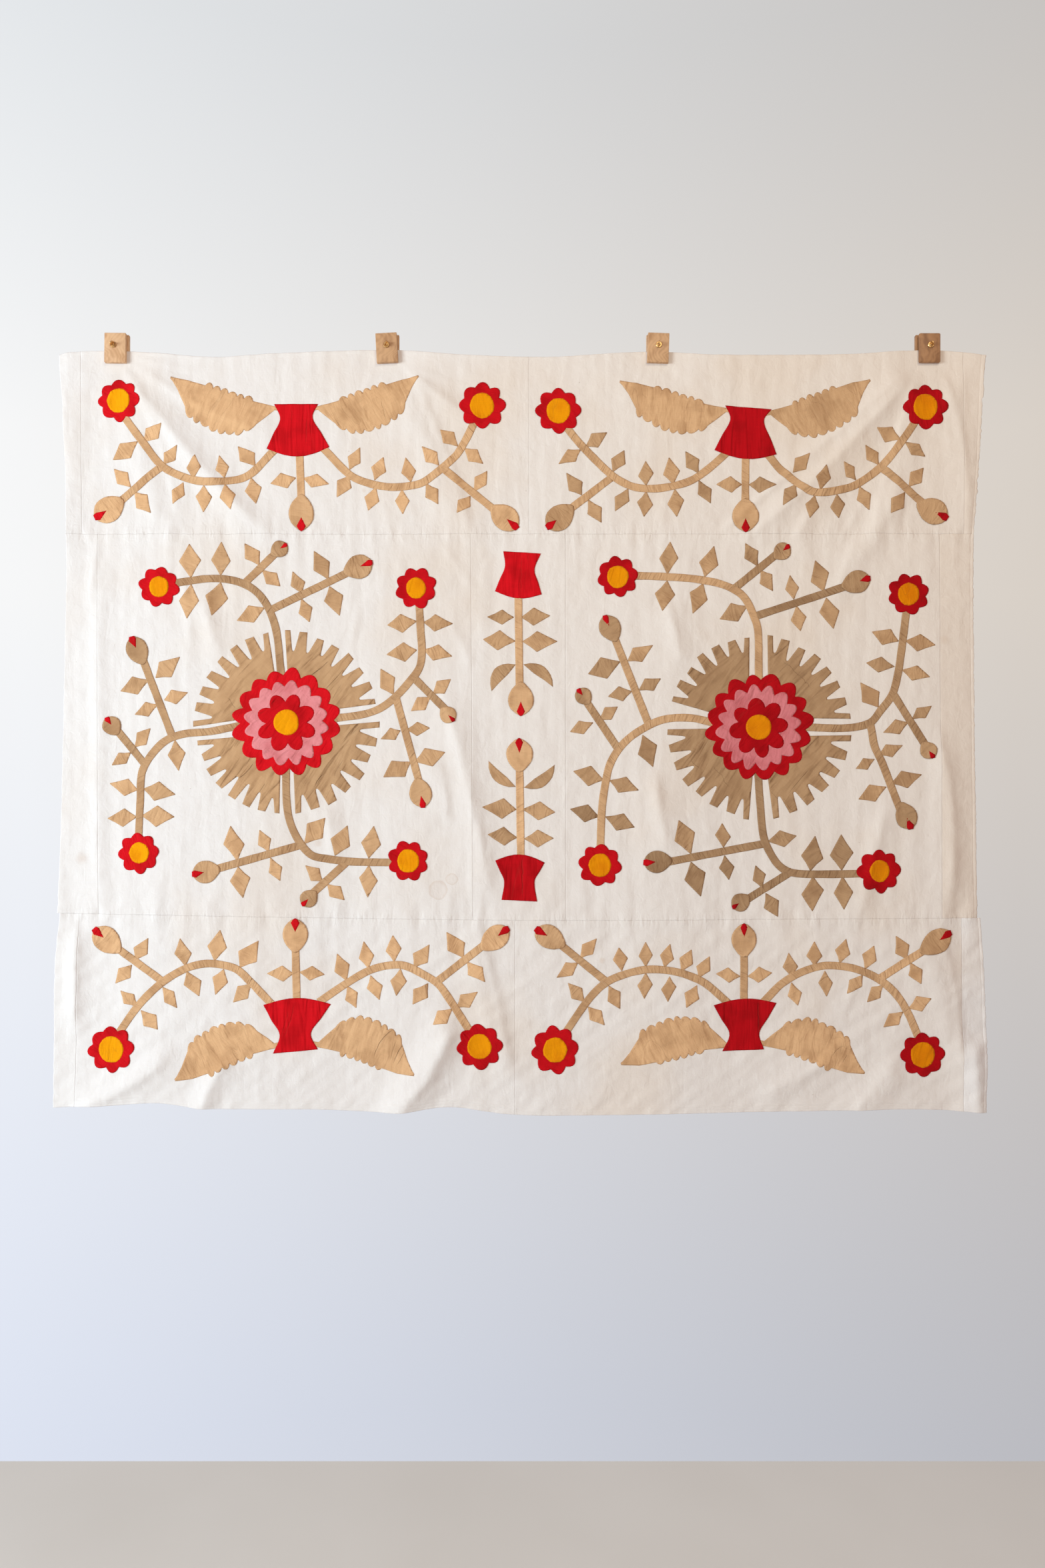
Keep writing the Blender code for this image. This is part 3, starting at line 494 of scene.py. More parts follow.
class Graph:
    """A material's nodes, with short ways to add more."""

    def __init__(self, name: str) -> None:
        """Starts a material with one Principled shader.

        Args:
            name: The material's name.
        """
        self.material = bpy.data.materials.new(name)
        self.material.use_nodes = True
        self.tree = self.material.node_tree
        self.shader = self.tree.nodes["Principled BSDF"]

    def feed(self, node: bpy.types.Node, sockets: dict) -> bpy.types.Node:
        """Sets or links a node's inputs.

        Args:
            node: The node.
            sockets: A number, colour or output for each input, by its name or place.

        Returns:
            The node.
        """
        for key, value in sockets.items():
            if isinstance(value, Socket):
                self.tree.links.new(value, node.inputs[key])
            else:
                node.inputs[key].default_value = value
        return node

    def add(self, kind: str, sockets: dict | None = None, **settings: object) -> bpy.types.Node:
        """A new node.

        Args:
            kind: The node's type, without its first word.
            sockets: Its inputs, as feed takes them.
            **settings: Its own options.

        Returns:
            The node.
        """
        node = self.tree.nodes.new("ShaderNode" + kind)
        for key, value in settings.items():
            setattr(node, key, value)
        return self.feed(node, sockets or {})

    def place(self) -> Socket:
        """Where on the object a point is, in metres."""
        return self.add("TexCoord").outputs["Object"]

    def attribute(self, name: str) -> Socket:
        """A number that the mesh holds for each of its vertices."""
        return self.add("Attribute", attribute_name=name).outputs["Fac"]

    def math(self, operation: str, first: object, second: object = 0.0) -> Socket:
        """The result of a sum of two values."""
        return self.add("Math", {0: first, 1: second}, operation=operation).outputs[0]

    def times(self, first: object, second: object) -> Socket:
        """The product of two values."""
        return self.math("MULTIPLY", first, second)

    def plus(self, first: object, second: object) -> Socket:
        """The sum of two values."""
        return self.math("ADD", first, second)

    def vector(self, operation: str, first: object, second: object, output: object = 0) -> Socket:
        """The result of a sum of two vectors, or another output of it."""
        return self.add("VectorMath", {0: first, 1: second}, operation=operation).outputs[output]

    def mix(self, factor: object, first: object, second: object, blend: str = "MIX") -> Socket:
        """Two colours mixed by a factor."""
        sockets = {0: factor, 6: first, 7: second}
        return self.add("Mix", sockets, data_type="RGBA", blend_type=blend).outputs[2]

    def ramp(self, value: object, low: float, high: float, first: float = 0.0, last: float = 1.0) -> Socket:
        """A value eased from the range low to high to the range first to last."""
        sockets = {0: value, 1: low, 2: high, 3: first, 4: last}
        return self.add("MapRange", sockets, interpolation_type="SMOOTHSTEP").outputs[0]

    def stretched(self, place: object, scale: tuple[float, float, float]) -> Socket:
        """A place times a scale for each direction, in repeats a metre."""
        return self.add("Mapping", {"Vector": place, "Scale": scale}).outputs[0]

    def noise(self, place: object, scale: float, detail: float = 2.0, distortion: float = 0.0) -> Socket:
        """Soft noise from about 0.3 to 0.7."""
        sockets = {"Vector": place, "Scale": scale, "Detail": detail, "Distortion": distortion}
        return self.add("TexNoise", sockets).outputs["Fac"]

    def bands(self, place: object, direction: str, pitch: float, distortion: float = 0.0) -> Socket:
        """Even soft bands.

        Args:
            place: Where on the object or the cloth, in metres.
            direction: The axis that they run across.
            pitch: The distance from one to the next, in metres.
            distortion: How uneven they are.

        Returns:
            An output from 0 to 1.
        """
        scale = math.pi / 10 / pitch
        sockets = {"Vector": place, "Scale": scale, "Distortion": distortion, "Detail Scale": 2.0}
        return self.add("TexWave", sockets, bands_direction=direction).outputs["Fac"]

    def wrinkles(self, place: object, thin: float) -> Socket:
        """Thin meandering lines.

        Args:
            place: Where on the cloth, in repeats.
            thin: How far a line reaches to its sides.

        Returns:
            An output that is 1 on a line and 0 away from it.
        """
        off = self.math("ABSOLUTE", self.math("SUBTRACT", self.noise(place, 1, 2.5, 0.9), 0.5))
        there = self.ramp(self.noise(place, 0.9, 1), 0.5, 0.62)
        return self.times(self.ramp(off, 0.0, thin, 1, 0), there)

    def bump(self, height: object, distance: float, normal: object = None, strength: float = 1.0) -> Socket:
        """A normal that a height has raised.

        Args:
            height: The height's output.
            distance: How many metres a height of 1 stands for.
            normal: The normal that it lies on, or none.
            strength: How much of it shows, of 1.

        Returns:
            The normal's output.
        """
        sockets = {"Height": height, "Distance": distance, "Strength": strength}
        if normal is not None:
            sockets["Normal"] = normal
        return self.add("Bump", sockets).outputs[0]


class Dye(Enum):
    """The colour of a cotton, with that of its faded or aged places; on the ground and the red, pink and
    yellow cottons that darker tone is also mixed in as painted shade towards the right.
    """

    GROUND = ((242, 241, 241), (232, 220, 208))
    RED = ((223, 16, 29), (158, 2, 13))
    PINK = ((238, 150, 155), (200, 108, 113))
    YELLOW = ((255, 172, 2), (214, 116, 0))
    TAN = ((233, 189, 143), (156, 125, 94))


@dataclass(frozen=True)
class Stain:
    """A mark on the ground: its middle and radius in mm, how much it shows, and a ring or a blot."""

    x: float
    z: float
    radius: float
    strength: float
    ring: bool = False


STAINS = table_of(
    Stain,
    (-202, -1298, 24, 0.16, True), (-169, -1271, 15, 0.18, True), (-1055, -1222, 20, 0.20),
    (-432, -600, 7, 0.30), (-380, -340, 8, 0.16), (-490, -1185, 13, 0.18), (190, -1466, 10, 0.22),
    (1010, -700, 16, 0.12), (700, -1300, 22, 0.10),
)


def cloth_shader(graph: Graph, colour: Socket, normal: Socket, roughness: float,
                 sheen: float) -> bpy.types.Material:
    """Finishes a cotton's shader.

    Args:
        graph: The material's nodes.
        colour: Its colour output.
        normal: Its normal output.
        roughness: The same all over.
        sheen: The weight of its soft sheen.

    Returns:
        The material.
    """
    graph.feed(graph.shader, {
        "Base Color": colour,
        "Normal": normal,
        "Roughness": roughness,
        "Sheen Weight": sheen,
        "Sheen Roughness": 0.5,
        "Specular IOR Level": 0.12,
    })
    return graph.material


def thread_height(graph: Graph, place: Socket, across: str, down: str, pitch: float) -> Socket:
    """The height of a plain weave.

    Args:
        graph: The material's nodes.
        place: Where on the cloth, in metres.
        across: The axis of the weft's bands.
        down: The axis of the warp's bands.
        pitch: The distance between threads, in metres.

    Returns:
        The height's output, from 0 to 1.
    """
    warp = graph.bands(place, across, pitch, 1.2)
    weft = graph.bands(place, down, pitch, 1.2)
    return graph.times(graph.plus(warp, weft), 0.5)


class Finish:
    """A finish of some pieces."""

    def material(self) -> bpy.types.Material:
        """Makes it.

        Returns:
            The finish as a material.
        """
        raise NotImplementedError


@dataclass(frozen=True)
class GroundCotton(Finish):
    """The off-white plain cotton of the ground, washed soft, with a few old marks, yellowed and with painted
    warm shade towards the upper right.
    """

    dye: Dye = Dye.GROUND
    thread_pitch: float = 0.9
    speck_tone: Tone = (150, 116, 80)
    stain_tone: Tone = (186, 138, 84)

    def material(self) -> bpy.types.Material:
        """The finish as a material.

        Returns:
            A material on object coordinates, seen from the front.
        """
        graph = Graph("ground_cotton")
        place = graph.place()
        clean, aged_and_shaded = (linear(*tone) for tone in self.dye.value)
        mottle = graph.ramp(graph.noise(place, 2.6, 4), 0.46, 0.70, 0, 0.42)
        parts = graph.add("SeparateXYZ", {0: place}).outputs
        # Darker and warmer towards the right and the top: partly the cloth's yellowing and partly painted
        # warm shade where the light falls off
        to_right, to_top = graph.ramp(parts["X"], -1.3, 1.3), graph.ramp(parts["Z"], -2.2, 0.3, 0.5, 1.0)
        yellowed_and_shaded = graph.times(to_right, to_top)
        # worn adds the side strips' own wear to that yellowing and painted shade
        worn = graph.plus(yellowed_and_shaded, graph.attribute("worn"))
        colour = graph.mix(graph.plus(mottle, worn), clean, aged_and_shaded)
        upright = graph.noise(graph.stretched(place, (900, 1, 14)), 1, 2)
        level = graph.noise(graph.stretched(place, (14, 1, 900)), 1, 2)
        slubs = graph.times(graph.plus(upright, level), 0.5)
        colour = graph.mix(graph.ramp(slubs, 0.42, 0.62, 0.0, 0.10), colour, aged_and_shaded)
        specks = graph.add("TexVoronoi", {"Vector": place, "Scale": 11.0}).outputs["Distance"]
        colour = graph.mix(graph.ramp(specks, 0.0, 0.022, 0.42, 0.0), colour, linear(*self.speck_tone))
        for stain in STAINS:
            colour = graph.mix(self.stain_mask(graph, place, stain), colour, linear(*self.stain_tone))
        soft = graph.noise(graph.stretched(place, (34, 1, 11)), 1, 3, 0.6)
        normal = graph.bump(soft, 1.8 * MM)
        small = graph.noise(place, 58, 3, 0.8)
        normal = graph.bump(small, 1.0 * MM, normal)
        gathers = graph.attribute("gathers")
        tucks = graph.noise(graph.stretched(place, (110, 1, 26)), 1, 2, 0.5)
        normal = graph.bump(graph.times(tucks, gathers), 3.2 * MM, normal)
        weave = graph.plus(thread_height(graph, place, "X", "Z", self.thread_pitch * MM), slubs)
        normal = graph.bump(weave, 0.10 * MM, normal, 0.6)
        return cloth_shader(graph, colour, normal, 0.92, 0.12)

    def stain_mask(self, graph: Graph, place: Socket, stain: Stain) -> Socket:
        """How much of a stain shows at a place.

        Args:
            graph: The material's nodes.
            place: The place's output, in metres.
            stain: The stain.

        Returns:
            An output from 0 to the stain's strength.
        """
        centre = (stain.x * MM, 0, stain.z * MM)
        flat = graph.vector("MULTIPLY", place, (1, 0, 1))
        away = graph.vector("DISTANCE", flat, centre, "Value")
        wobble = graph.times(graph.noise(place, 45, 2), 0.5 * stain.radius * MM)
        away = graph.plus(away, wobble)
        radius = 1.25 * stain.radius * MM
        inside = graph.ramp(away, radius * (0.93 if stain.ring else 0.3), radius, stain.strength, 0)
        if not stain.ring:
            return inside
        hollow = graph.ramp(away, radius * 0.72, radius * 0.93, 0.35, 1.0)
        return graph.times(inside, hollow)


@dataclass(frozen=True)
class PatchCotton(Finish):
    """A dyed cotton that is cut, turned under and sewn down.

    Its soft creases repeat so many times a metre along and across its threads, and slope so much.
    Its lines are single sharp creases, in mm, as seen from the front. Its other sizes are in mm:
    its stitches' and its threads' pitch, where its turned edge ends, and how far a stitch pulls.
    """

    name: str
    dye: Dye
    creases: tuple[float, float]
    slope: float
    fine_slope: float = 0.08
    mottle: float = 0.35
    stitch_shade: float = 0.74
    lines: tuple[Fold, ...] = ()
    stitch_pitch: float = 4.6
    thread_pitch: float = 0.8
    turned: tuple[float, float] = (3.6, 6.4)
    pulled: float = 13

    def line_mask(self, graph: Graph, place: Socket, line: Fold) -> Socket:
        """Where a single sharp crease is.

        Args:
            graph: The material's nodes.
            place: The place's output, in metres.
            line: The crease.

        Returns:
            An output that is the crease's rise on its line and 0 away from it.
        """
        run = Vector((line.x1 - line.x0, 0, line.z1 - line.z0)) * MM
        start = (line.x0 * MM, 0, line.z0 * MM)
        off = graph.vector("SUBTRACT", place, start)
        forward = run / run.length**2
        sideways = Vector((run.z, 0, -run.x)) / run.length
        along = graph.vector("DOT_PRODUCT", off, forward, "Value")
        aside = graph.vector("DOT_PRODUCT", off, sideways, "Value")
        arch = graph.times(along, graph.math("SUBTRACT", 1.0, along))
        bowed = graph.times(arch, 4 * line.bow * MM)
        away = graph.math("ABSOLUTE", graph.math("SUBTRACT", aside, bowed))
        there = graph.times(graph.ramp(along, -0.02, 0.2), graph.ramp(along, 0.75, 1.02, 1, 0))
        return graph.times(graph.ramp(away, 0.0, line.reach * MM, line.rise, 0), there)

    def material(self) -> bpy.types.Material:
        """The finish as a material.

        Returns:
            A material on the piece's own maps: lie, which runs with its threads, and hem, whose first
            number runs along its edge and whose second is the distance from it, all in metres.
        """
        graph = Graph(self.name)
        lie = graph.add("UVMap", uv_map="lie").outputs[0]
        hem = graph.add("UVMap", uv_map="hem").outputs[0]
        parts = graph.add("SeparateXYZ", {0: hem}).outputs
        edge = parts["Y"]
        fade = graph.attribute("fade")
        fresh, faded = (linear(*tone) for tone in self.dye.value)
        colour = graph.mix(fade, fresh, faded)
        patchy = graph.ramp(graph.noise(lie, 16, 3), 0.44, 0.66, 0, self.mottle)
        colour = graph.mix(patchy, colour, graph.mix(0.75, colour, faded, "MULTIPLY"))
        slubs = graph.noise(graph.stretched(lie, (30, 700, 1)), 1, 2)
        darker = graph.mix(1.0, colour, SLUB_TINT, "MULTIPLY")
        colour = graph.mix(graph.ramp(slubs, 0.40, 0.62, 0.24, 0.0), colour, darker)
        stitches = graph.bands(graph.stretched(hem, (1, 0, 0)), "X", self.stitch_pitch * MM)
        ticks = graph.ramp(stitches, 0.6, 0.9)
        near = graph.times(graph.ramp(edge, 0.8 * MM, 2.0 * MM, 1, 0), ticks)
        # dark is a painted shadow along the patch's turned edge, mixed in with the stitches' darker marks
        dark = graph.ramp(edge, 0.0, 0.9 * MM, 0.22, 0.0)
        shade = graph.math("MAXIMUM", graph.times(near, 1 - self.stitch_shade), dark)
        colour = graph.mix(shade, colour, graph.mix(1.0, colour, STITCH_AND_EDGE_SHADOW_TINT, "MULTIPLY"))

        long, short = self.creases
        across = graph.noise(graph.stretched(lie, (long, short, 1)), 1, 1.7, 0.8)
        normal = graph.bump(across, self.slope / (0.57 * long))
        crumple = graph.noise(graph.stretched(lie, (2.7 * long, 2.2 * short, 1)), 1, 2, 0.8)
        normal = graph.bump(crumple, self.fine_slope / (0.57 * 2.7 * long), normal)
        wrinkle = graph.wrinkles(graph.stretched(lie, (0.4 * long, 0.4 * short, 1)), 0.0003 * long)
        normal = graph.bump(wrinkle, -0.28 * MM, normal)
        # Painted shade in the thin wrinkles
        colour = graph.mix(graph.times(wrinkle, 0.10), colour, CREASE_SHADE_TINT)
        if self.lines:
            place = graph.place()
            wobble = graph.noise(place, 60, 1)
            shifted = graph.times(graph.math("SUBTRACT", wobble, 0.5), 9 * MM)
            place = graph.vector("ADD", place, shifted)
            drawn = 0.0
            for line in self.lines:
                drawn = graph.math("MAXIMUM", self.line_mask(graph, place, line), drawn)
            normal = graph.bump(drawn, -1.1 * MM, normal)
            # Painted shade along the sharp creases
            colour = graph.mix(graph.times(drawn, 0.28), colour, CREASE_SHADE_TINT)
        pull = graph.noise(graph.stretched(hem, (170, 28, 1)), 1, 2, 0.3)
        pull = graph.times(pull, graph.ramp(edge, 1 * MM, self.pulled * MM, 1, 0))
        normal = graph.bump(pull, 1.3 * MM, normal)
        ridge = graph.ramp(edge, self.turned[0] * MM, self.turned[1] * MM, 1, 0)
        normal = graph.bump(ridge, 0.12 * MM, normal)
        weave = graph.plus(thread_height(graph, lie, "X", "Y", self.thread_pitch * MM), slubs)
        normal = graph.bump(weave, 0.05 * MM, normal, 0.6)
        return cloth_shader(graph, colour, normal, 0.88, 0.015)


@dataclass(frozen=True)
class BlockWood(Finish):
    """The plain planed wood of a hanger's block, with its grain down the block."""

    name: str
    pale: Tone
    dark: Tone
    shift: float

    def material(self) -> bpy.types.Material:
        """The finish as a material.

        Returns:
            A material on object coordinates.
        """
        graph = Graph(self.name)
        place = graph.place()
        placed = graph.add("Mapping", {"Vector": place, "Location": (self.shift, 0, 0)}).outputs[0]
        bent = graph.noise(graph.stretched(placed, (11, 11, 20)), 1, 2)
        rings = graph.stretched(placed, (60, 60, 14))
        rings = graph.vector("ADD", rings, graph.times(bent, 6.0))
        waves = {"Vector": rings, "Scale": 0.45, "Distortion": 3.0, "Detail": 3.0}
        grain = graph.add("TexWave", waves).outputs["Fac"]
        blotch = graph.ramp(graph.noise(graph.stretched(placed, (55, 55, 26)), 1, 3), 0.35, 0.68)
        fibres = graph.noise(graph.stretched(placed, (1500, 1500, 50)), 1, 3)
        tone = graph.plus(graph.times(grain, 0.22), graph.times(fibres, 0.32))
        tone = graph.plus(tone, graph.times(blotch, 0.42))
        colour = graph.mix(graph.ramp(tone, 0.15, 0.95), linear(*self.pale), linear(*self.dark))
        normal = graph.bump(fibres, 0.08 * MM, None, 0.6)
        rough = graph.ramp(fibres, 0.3, 0.7, 0.5, 0.66)
        graph.feed(graph.shader, {"Base Color": colour, "Normal": normal, "Roughness": rough})
        return graph.material


@dataclass(frozen=True)
class Brass(Finish):
    """The turned brass of a thumbscrew, lightly rubbed."""

    name: str = "thumbscrew_brass"
    bright: Tone = (232, 196, 140)
    dull: Tone = (196, 152, 96)

    def material(self) -> bpy.types.Material:
        """The finish as a material.

        Returns:
            A material on object coordinates.
        """
        graph = Graph(self.name)
        place = graph.place()
        rubbed = graph.noise(place, 420, 3)
        colour = graph.mix(rubbed, linear(*self.bright), linear(*self.dull))
        normal = graph.bump(graph.noise(place, 900, 2), 0.05 * MM, None, 0.4)
        rough = graph.ramp(rubbed, 0.3, 0.7, 0.30, 0.50)
        sockets = {"Base Color": colour, "Metallic": 1.0, "Roughness": rough, "Normal": normal}
        graph.feed(graph.shader, sockets)
        return graph.material


@dataclass(frozen=True)
class StudioFloor(Finish):
    """The plain pale floor."""

    pale: Tone = (226, 224, 220)
    dark: Tone = (218, 215, 210)

    def material(self) -> bpy.types.Material:
        """The finish as a material.

        Returns:
            A material on object coordinates.
        """
        graph = Graph("studio_floor")
        place = graph.place()
        soft = graph.mix(graph.noise(place, 3, 2), linear(*self.pale), linear(*self.dark))
        graph.feed(graph.shader, {"Base Color": soft, "Roughness": 0.8})
        return graph.material


def mesh_from(bm: bmesh.types.BMesh, name: str) -> bpy.types.Mesh:
    """A mesh of a form that was under work.

    Args:
        bm: The form, which can't be worked on after this.
        name: The mesh's name.

    Returns:
        The mesh.
    """
    mesh = bpy.data.meshes.new(name)
    bm.to_mesh(mesh)
    bm.free()
    return mesh


def in_scene(name: str, data: bpy.types.ID) -> bpy.types.Object:
    """A new object in the scene.

    Args:
        name: Its name.
        data: What it shows, such as a mesh or a lamp.

    Returns:
        The object.
    """
    obj = bpy.data.objects.new(name, data)
    bpy.context.scene.collection.objects.link(obj)
    return obj


@dataclass
class Workroom:
    """Puts finished meshes in the scene as pieces on the hanging body."""

    made: int = 0

    def piece(self, name: str, mesh: bpy.types.Mesh, finish: bpy.types.Material, slot: str,
              stands_for: tuple[str, ...] = (), depth: float = 0.0, offset: float = 0.0) -> bpy.types.Object:
        """A piece of the object.

        Args:
            name: Its name.
            mesh: Its mesh, in place, in metres.
            finish: Its material.
            slot: The record's slot that the finish comes from. It is not used.
            stands_for: The CAD nodes that it replaces.
            depth: The thickness that Solidify gives it, in mm, or 0.
            offset: Solidify's offset.

        Returns:
            The piece.
        """
        mesh.name = name
        mesh.materials.append(finish)
        mesh.shade_smooth()
        obj = in_scene(name, mesh)
        if depth:
            solidify = obj.modifiers.new("thickness", "SOLIDIFY")
            solidify.thickness = depth * MM
            solidify.offset = offset
        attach(obj, "root")
        if stands_for:
            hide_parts(*stands_for)
        self.made += 1
        log.info("%s: %d faces", name, len(mesh.polygons))
        return obj


def coordinates(mesh: bpy.types.Mesh) -> np.ndarray:
    """The places of a mesh's vertices.

    Args:
        mesh: The mesh.

    Returns:
        A row of X, Y and Z for each vertex, in metres.
    """
    flat = np.empty(len(mesh.vertices) * 3, np.float32)
    mesh.vertices.foreach_get("co", flat)
    return flat.reshape(-1, 3).astype(float)


def grid(name: str, columns: int, rows: int) -> tuple[bpy.types.Mesh, np.ndarray, np.ndarray]:
    """A flat lattice.

    Args:
        name: The mesh's name.
        columns: How many vertices it has across.
        rows: How many it has up.

    Returns:
        The mesh, and the column and the row of each vertex, counted from the lower left one.
    """
    bm = bmesh.new()
    bmesh.ops.create_grid(bm, x_segments=columns - 1, y_segments=rows - 1, size=0.5)
    mesh = mesh_from(bm, name)
    flat = coordinates(mesh) + 0.5
    column = np.rint(flat[:, 0] * (columns - 1)).astype(int)
    row = np.rint(flat[:, 1] * (rows - 1)).astype(int)
    return mesh, column, row


def whole_numbers(items: bpy.types.bpy_prop_collection, name: str) -> np.ndarray:
    """One whole number of each of a mesh's loops or polygons.

    Args:
        items: The loops or polygons.
        name: What the number is called in them.

    Returns:
        The numbers, in order.
    """
    values = np.empty(len(items), np.int32)
    items.foreach_get(name, values)
    return values


def place_vertices(mesh: bpy.types.Mesh, x: np.ndarray, y: np.ndarray, z: np.ndarray) -> None:
    """Moves a mesh's vertices to places in mm."""
    mesh.vertices.foreach_set("co", (np.column_stack((x, y, z)) * MM).astype(np.float32).ravel())
    mesh.update()


def add_numbers(mesh: bpy.types.Mesh, name: str, values: np.ndarray) -> None:
    """Gives a mesh an attribute with a number for each vertex."""
    layer = mesh.attributes.new(name, "FLOAT", "POINT")
    layer.data.foreach_set("value", values.astype(np.float32))


def stations(low: float, high: float, step: float) -> np.ndarray:
    """Places for the lines of a lattice.

    Args:
        low: The first place, in mm.
        high: The last place, in mm.
        step: About how far apart they are, in mm.

    Returns:
        The places, in mm, closer at both ends, where the cloth is turned.
    """
    inset = 2.5 * TURN
    count = max(2, round((high - low - 2 * inset) / step))
    inner = np.linspace(low + inset, high - inset, count + 1)
    return np.concatenate(([low, low + TURN], inner, [high - TURN, high]))


def with_extra(places: np.ndarray, extra: list[float]) -> np.ndarray:
    """Places with extra ones put in.

    Args:
        places: The places, in mm.
        extra: Those to put in, in mm.

    Returns:
        The places in order, without those that would lie within 1 mm of an extra one.
    """
    if not extra:
        return places
    apart = np.abs(places[:, None] - np.array(extra)).min(1)
    ends = np.isin(places, (places[0], places[-1]))
    return np.sort(np.concatenate((places[(apart > 1) | ends], extra)))


# How much more, or less, aged than the wide panels beside it a side strip is
STRIP_WEAR = {"middle_right_strip": 0.35, "bottom_right_strip": -0.4, "top_right_strip": 0.2}


@dataclass
class Panel:
    """A piece of the ground between two lines across and two sides, in mm."""

    name: str
    top: SmoothLine
    foot: SmoothLine
    left: SmoothLine
    right: SmoothLine
    outer: tuple[bool, bool, bool, bool]  # whether its top, foot, left and right are the ground's own
    held_by: tuple[str, ...]

    def lattice(self) -> tuple[np.ndarray, np.ndarray]:
        """X and Z of the lattice, by row from the top and column from the left.

        Returns:
            Two arrays in mm.
        """
        top, foot = self.top.at_zero(), self.foot.at_zero()
        middle = np.array([(top + foot) / 2])
        low, high = float(self.left.at(middle)[0]), float(self.right.at(middle)[0])
        is_top, is_bottom, _, is_frayed = self.outer
        extra = [high - d for d in SELVAGE_COLUMNS if is_frayed]
        columns = with_extra(stations(low, high, CELL), extra)
        across = (columns - low) / (high - low)
        extra = [foot + d for d in HEM_ROWS if is_bottom] + [top - d for d in TOP_ROWS if is_top]
        rows = with_extra(stations(foot, top, FINE_CELL if is_frayed else CELL), extra)
        down = (rows[::-1] - top) / (foot - top)
        across, down = np.meshgrid(across, down)
        x, z = np.zeros_like(across), np.full_like(across, middle[0])
        for _ in range(4):
            left, right = self.left.at(z) + SEAM_GAP / 2, self.right.at(z) - SEAM_GAP / 2
            x = left + (right - left) * across
            upper, lower = self.top.at(x) - SEAM_GAP / 2, self.foot.at(x) + SEAM_GAP / 2
            z = upper + (lower - upper) * down
        return x, z

    def ragged(self, x: np.ndarray, z: np.ndarray, noise: SoftNoise) -> np.ndarray:
        """X with the outer sides worn a little uneven.

        Args:
            x: The lattice's X, in mm.
            z: The lattice's Z, in mm.
            noise: Where the unevenness comes from.

        Returns:
            The new X, in mm.
        """
        worn = x.copy()
        for column, is_outer in ((0, self.outer[2]), (-1, self.outer[3])):
            if is_outer:
                height, aside = z[:, column], x[:, column] / 50
                within = eased(height, *FRAY_FOOT) * (1 - eased(height, *FRAY_HEAD))
                frayed = 0.8 + 2.2 * within * (column == -1)
                rough = frayed * noise.at(height / 13, aside)
                rough += 0.9 * frayed * noise.at(height / 41, aside + 9)
                if column == -1:
                    rough += 1.1 * noise.at(height / 4.4, aside + 21)
                for near, share in ((column, 1.0), (1 if column == 0 else -2, 0.8)):
                    worn[:, near] += share * rough
        return worn

    def build(self, cloth: Cloth) -> bpy.types.Mesh:
        """The panel's sheet, on the hanging form, with its seamed sides turned back.

        Args:
            cloth: The form that it hangs in.

        Returns:
            The mesh, in metres.
        """
        x, z = self.lattice()
        gathered = cloth.gathered(x, z)
        z = cloth.pulled(x, z)
        rows, columns = x.shape
        mesh, column, row = grid(self.name, columns, rows)
        row = rows - 1 - row
        y = cloth.middle(x, z)
        edges = (np.s_[0, :], np.s_[-1, :], np.s_[:, 0], np.s_[:, -1])
        inner = (np.s_[1, :], np.s_[-2, :], np.s_[:, 1], np.s_[:, -2])
        for is_outer, edge, beside in zip(self.outer, edges, inner):
            if not is_outer:
                y[edge] += SEAM_SINK[0]
                y[beside] += SEAM_SINK[1]
        if self.outer[3]:
            nominal = (1 - (x - x[:, :1]) / (x[:, -1:] - x[:, :1])) * (x[:, -1:] - x[:, :1]).mean()
            y += SELVAGE_DENT * np.exp(-(((nominal - SELVAGE) / SELVAGE_REACH) ** 2))
        x = self.ragged(x, z, cloth.noise)
        place_vertices(mesh, x[row, column], y[row, column], z[row, column])
        worn = np.full_like(x, STRIP_WEAR.get(self.name, 0.0))
        for name, values in (("gathers", gathered), ("worn", worn)):
            add_numbers(mesh, name, values[row, column])
        return mesh


class Band(NamedTuple):
    """A row of panels: its four lines, X of its seams at the top and the foot, and its panels' names."""

    top: Points
    foot: Points
    left: Points
    right: Points
    seams: Points
    names: tuple[str, ...]


BANDS = (
    Band(TOP_EDGE, SEAM_1, LEFT_UPPER, RIGHT_UPPER, ((-1060, -1055), (15, 15), (1057, 1057)),
         ("top_left_strip", "top_left", "top_right", "top_right_strip")),
    Band(SEAM_1, SEAM_2, LEFT_UPPER, RIGHT_UPPER, ((-1018, -1014), (-124, -118), (103, 103), (999, 1001)),
         ("middle_left_strip", "middle_left", "middle_center", "middle_right", "middle_right_strip")),
    Band(SEAM_2, HEM, LEFT_LOWER, RIGHT_LOWER, ((-1060, -1071), (-18, -18), (1049, 1049)),
         ("bottom_left_strip", "bottom_left", "bottom_right", "bottom_right_strip")),
)
HELD_BY = {
    "top_left_strip": ("ground_top_left",),
    "top_left": ("hanger_1_back_block", "hanger_2_back_block"),
    "top_right": ("hanger_3_back_block", "hanger_4_back_block"),
    "top_right_strip": ("ground_top_right",),
    "middle_left_strip": ("ground_top_left_strip",),
    "middle_left": ("ground_top_left",),
    "middle_center": ("ground_top_left", "ground_top_right"),
    "middle_right": ("ground_top_right",),
    "middle_right_strip": ("ground_top_right_strip",),
    "bottom_left_strip": ("ground_middle_left_strip",),
    "bottom_left": ("ground_middle_left",),
    "bottom_right": ("ground_middle_right",),
    "bottom_right_strip": ("ground_middle_right_strip",),
}


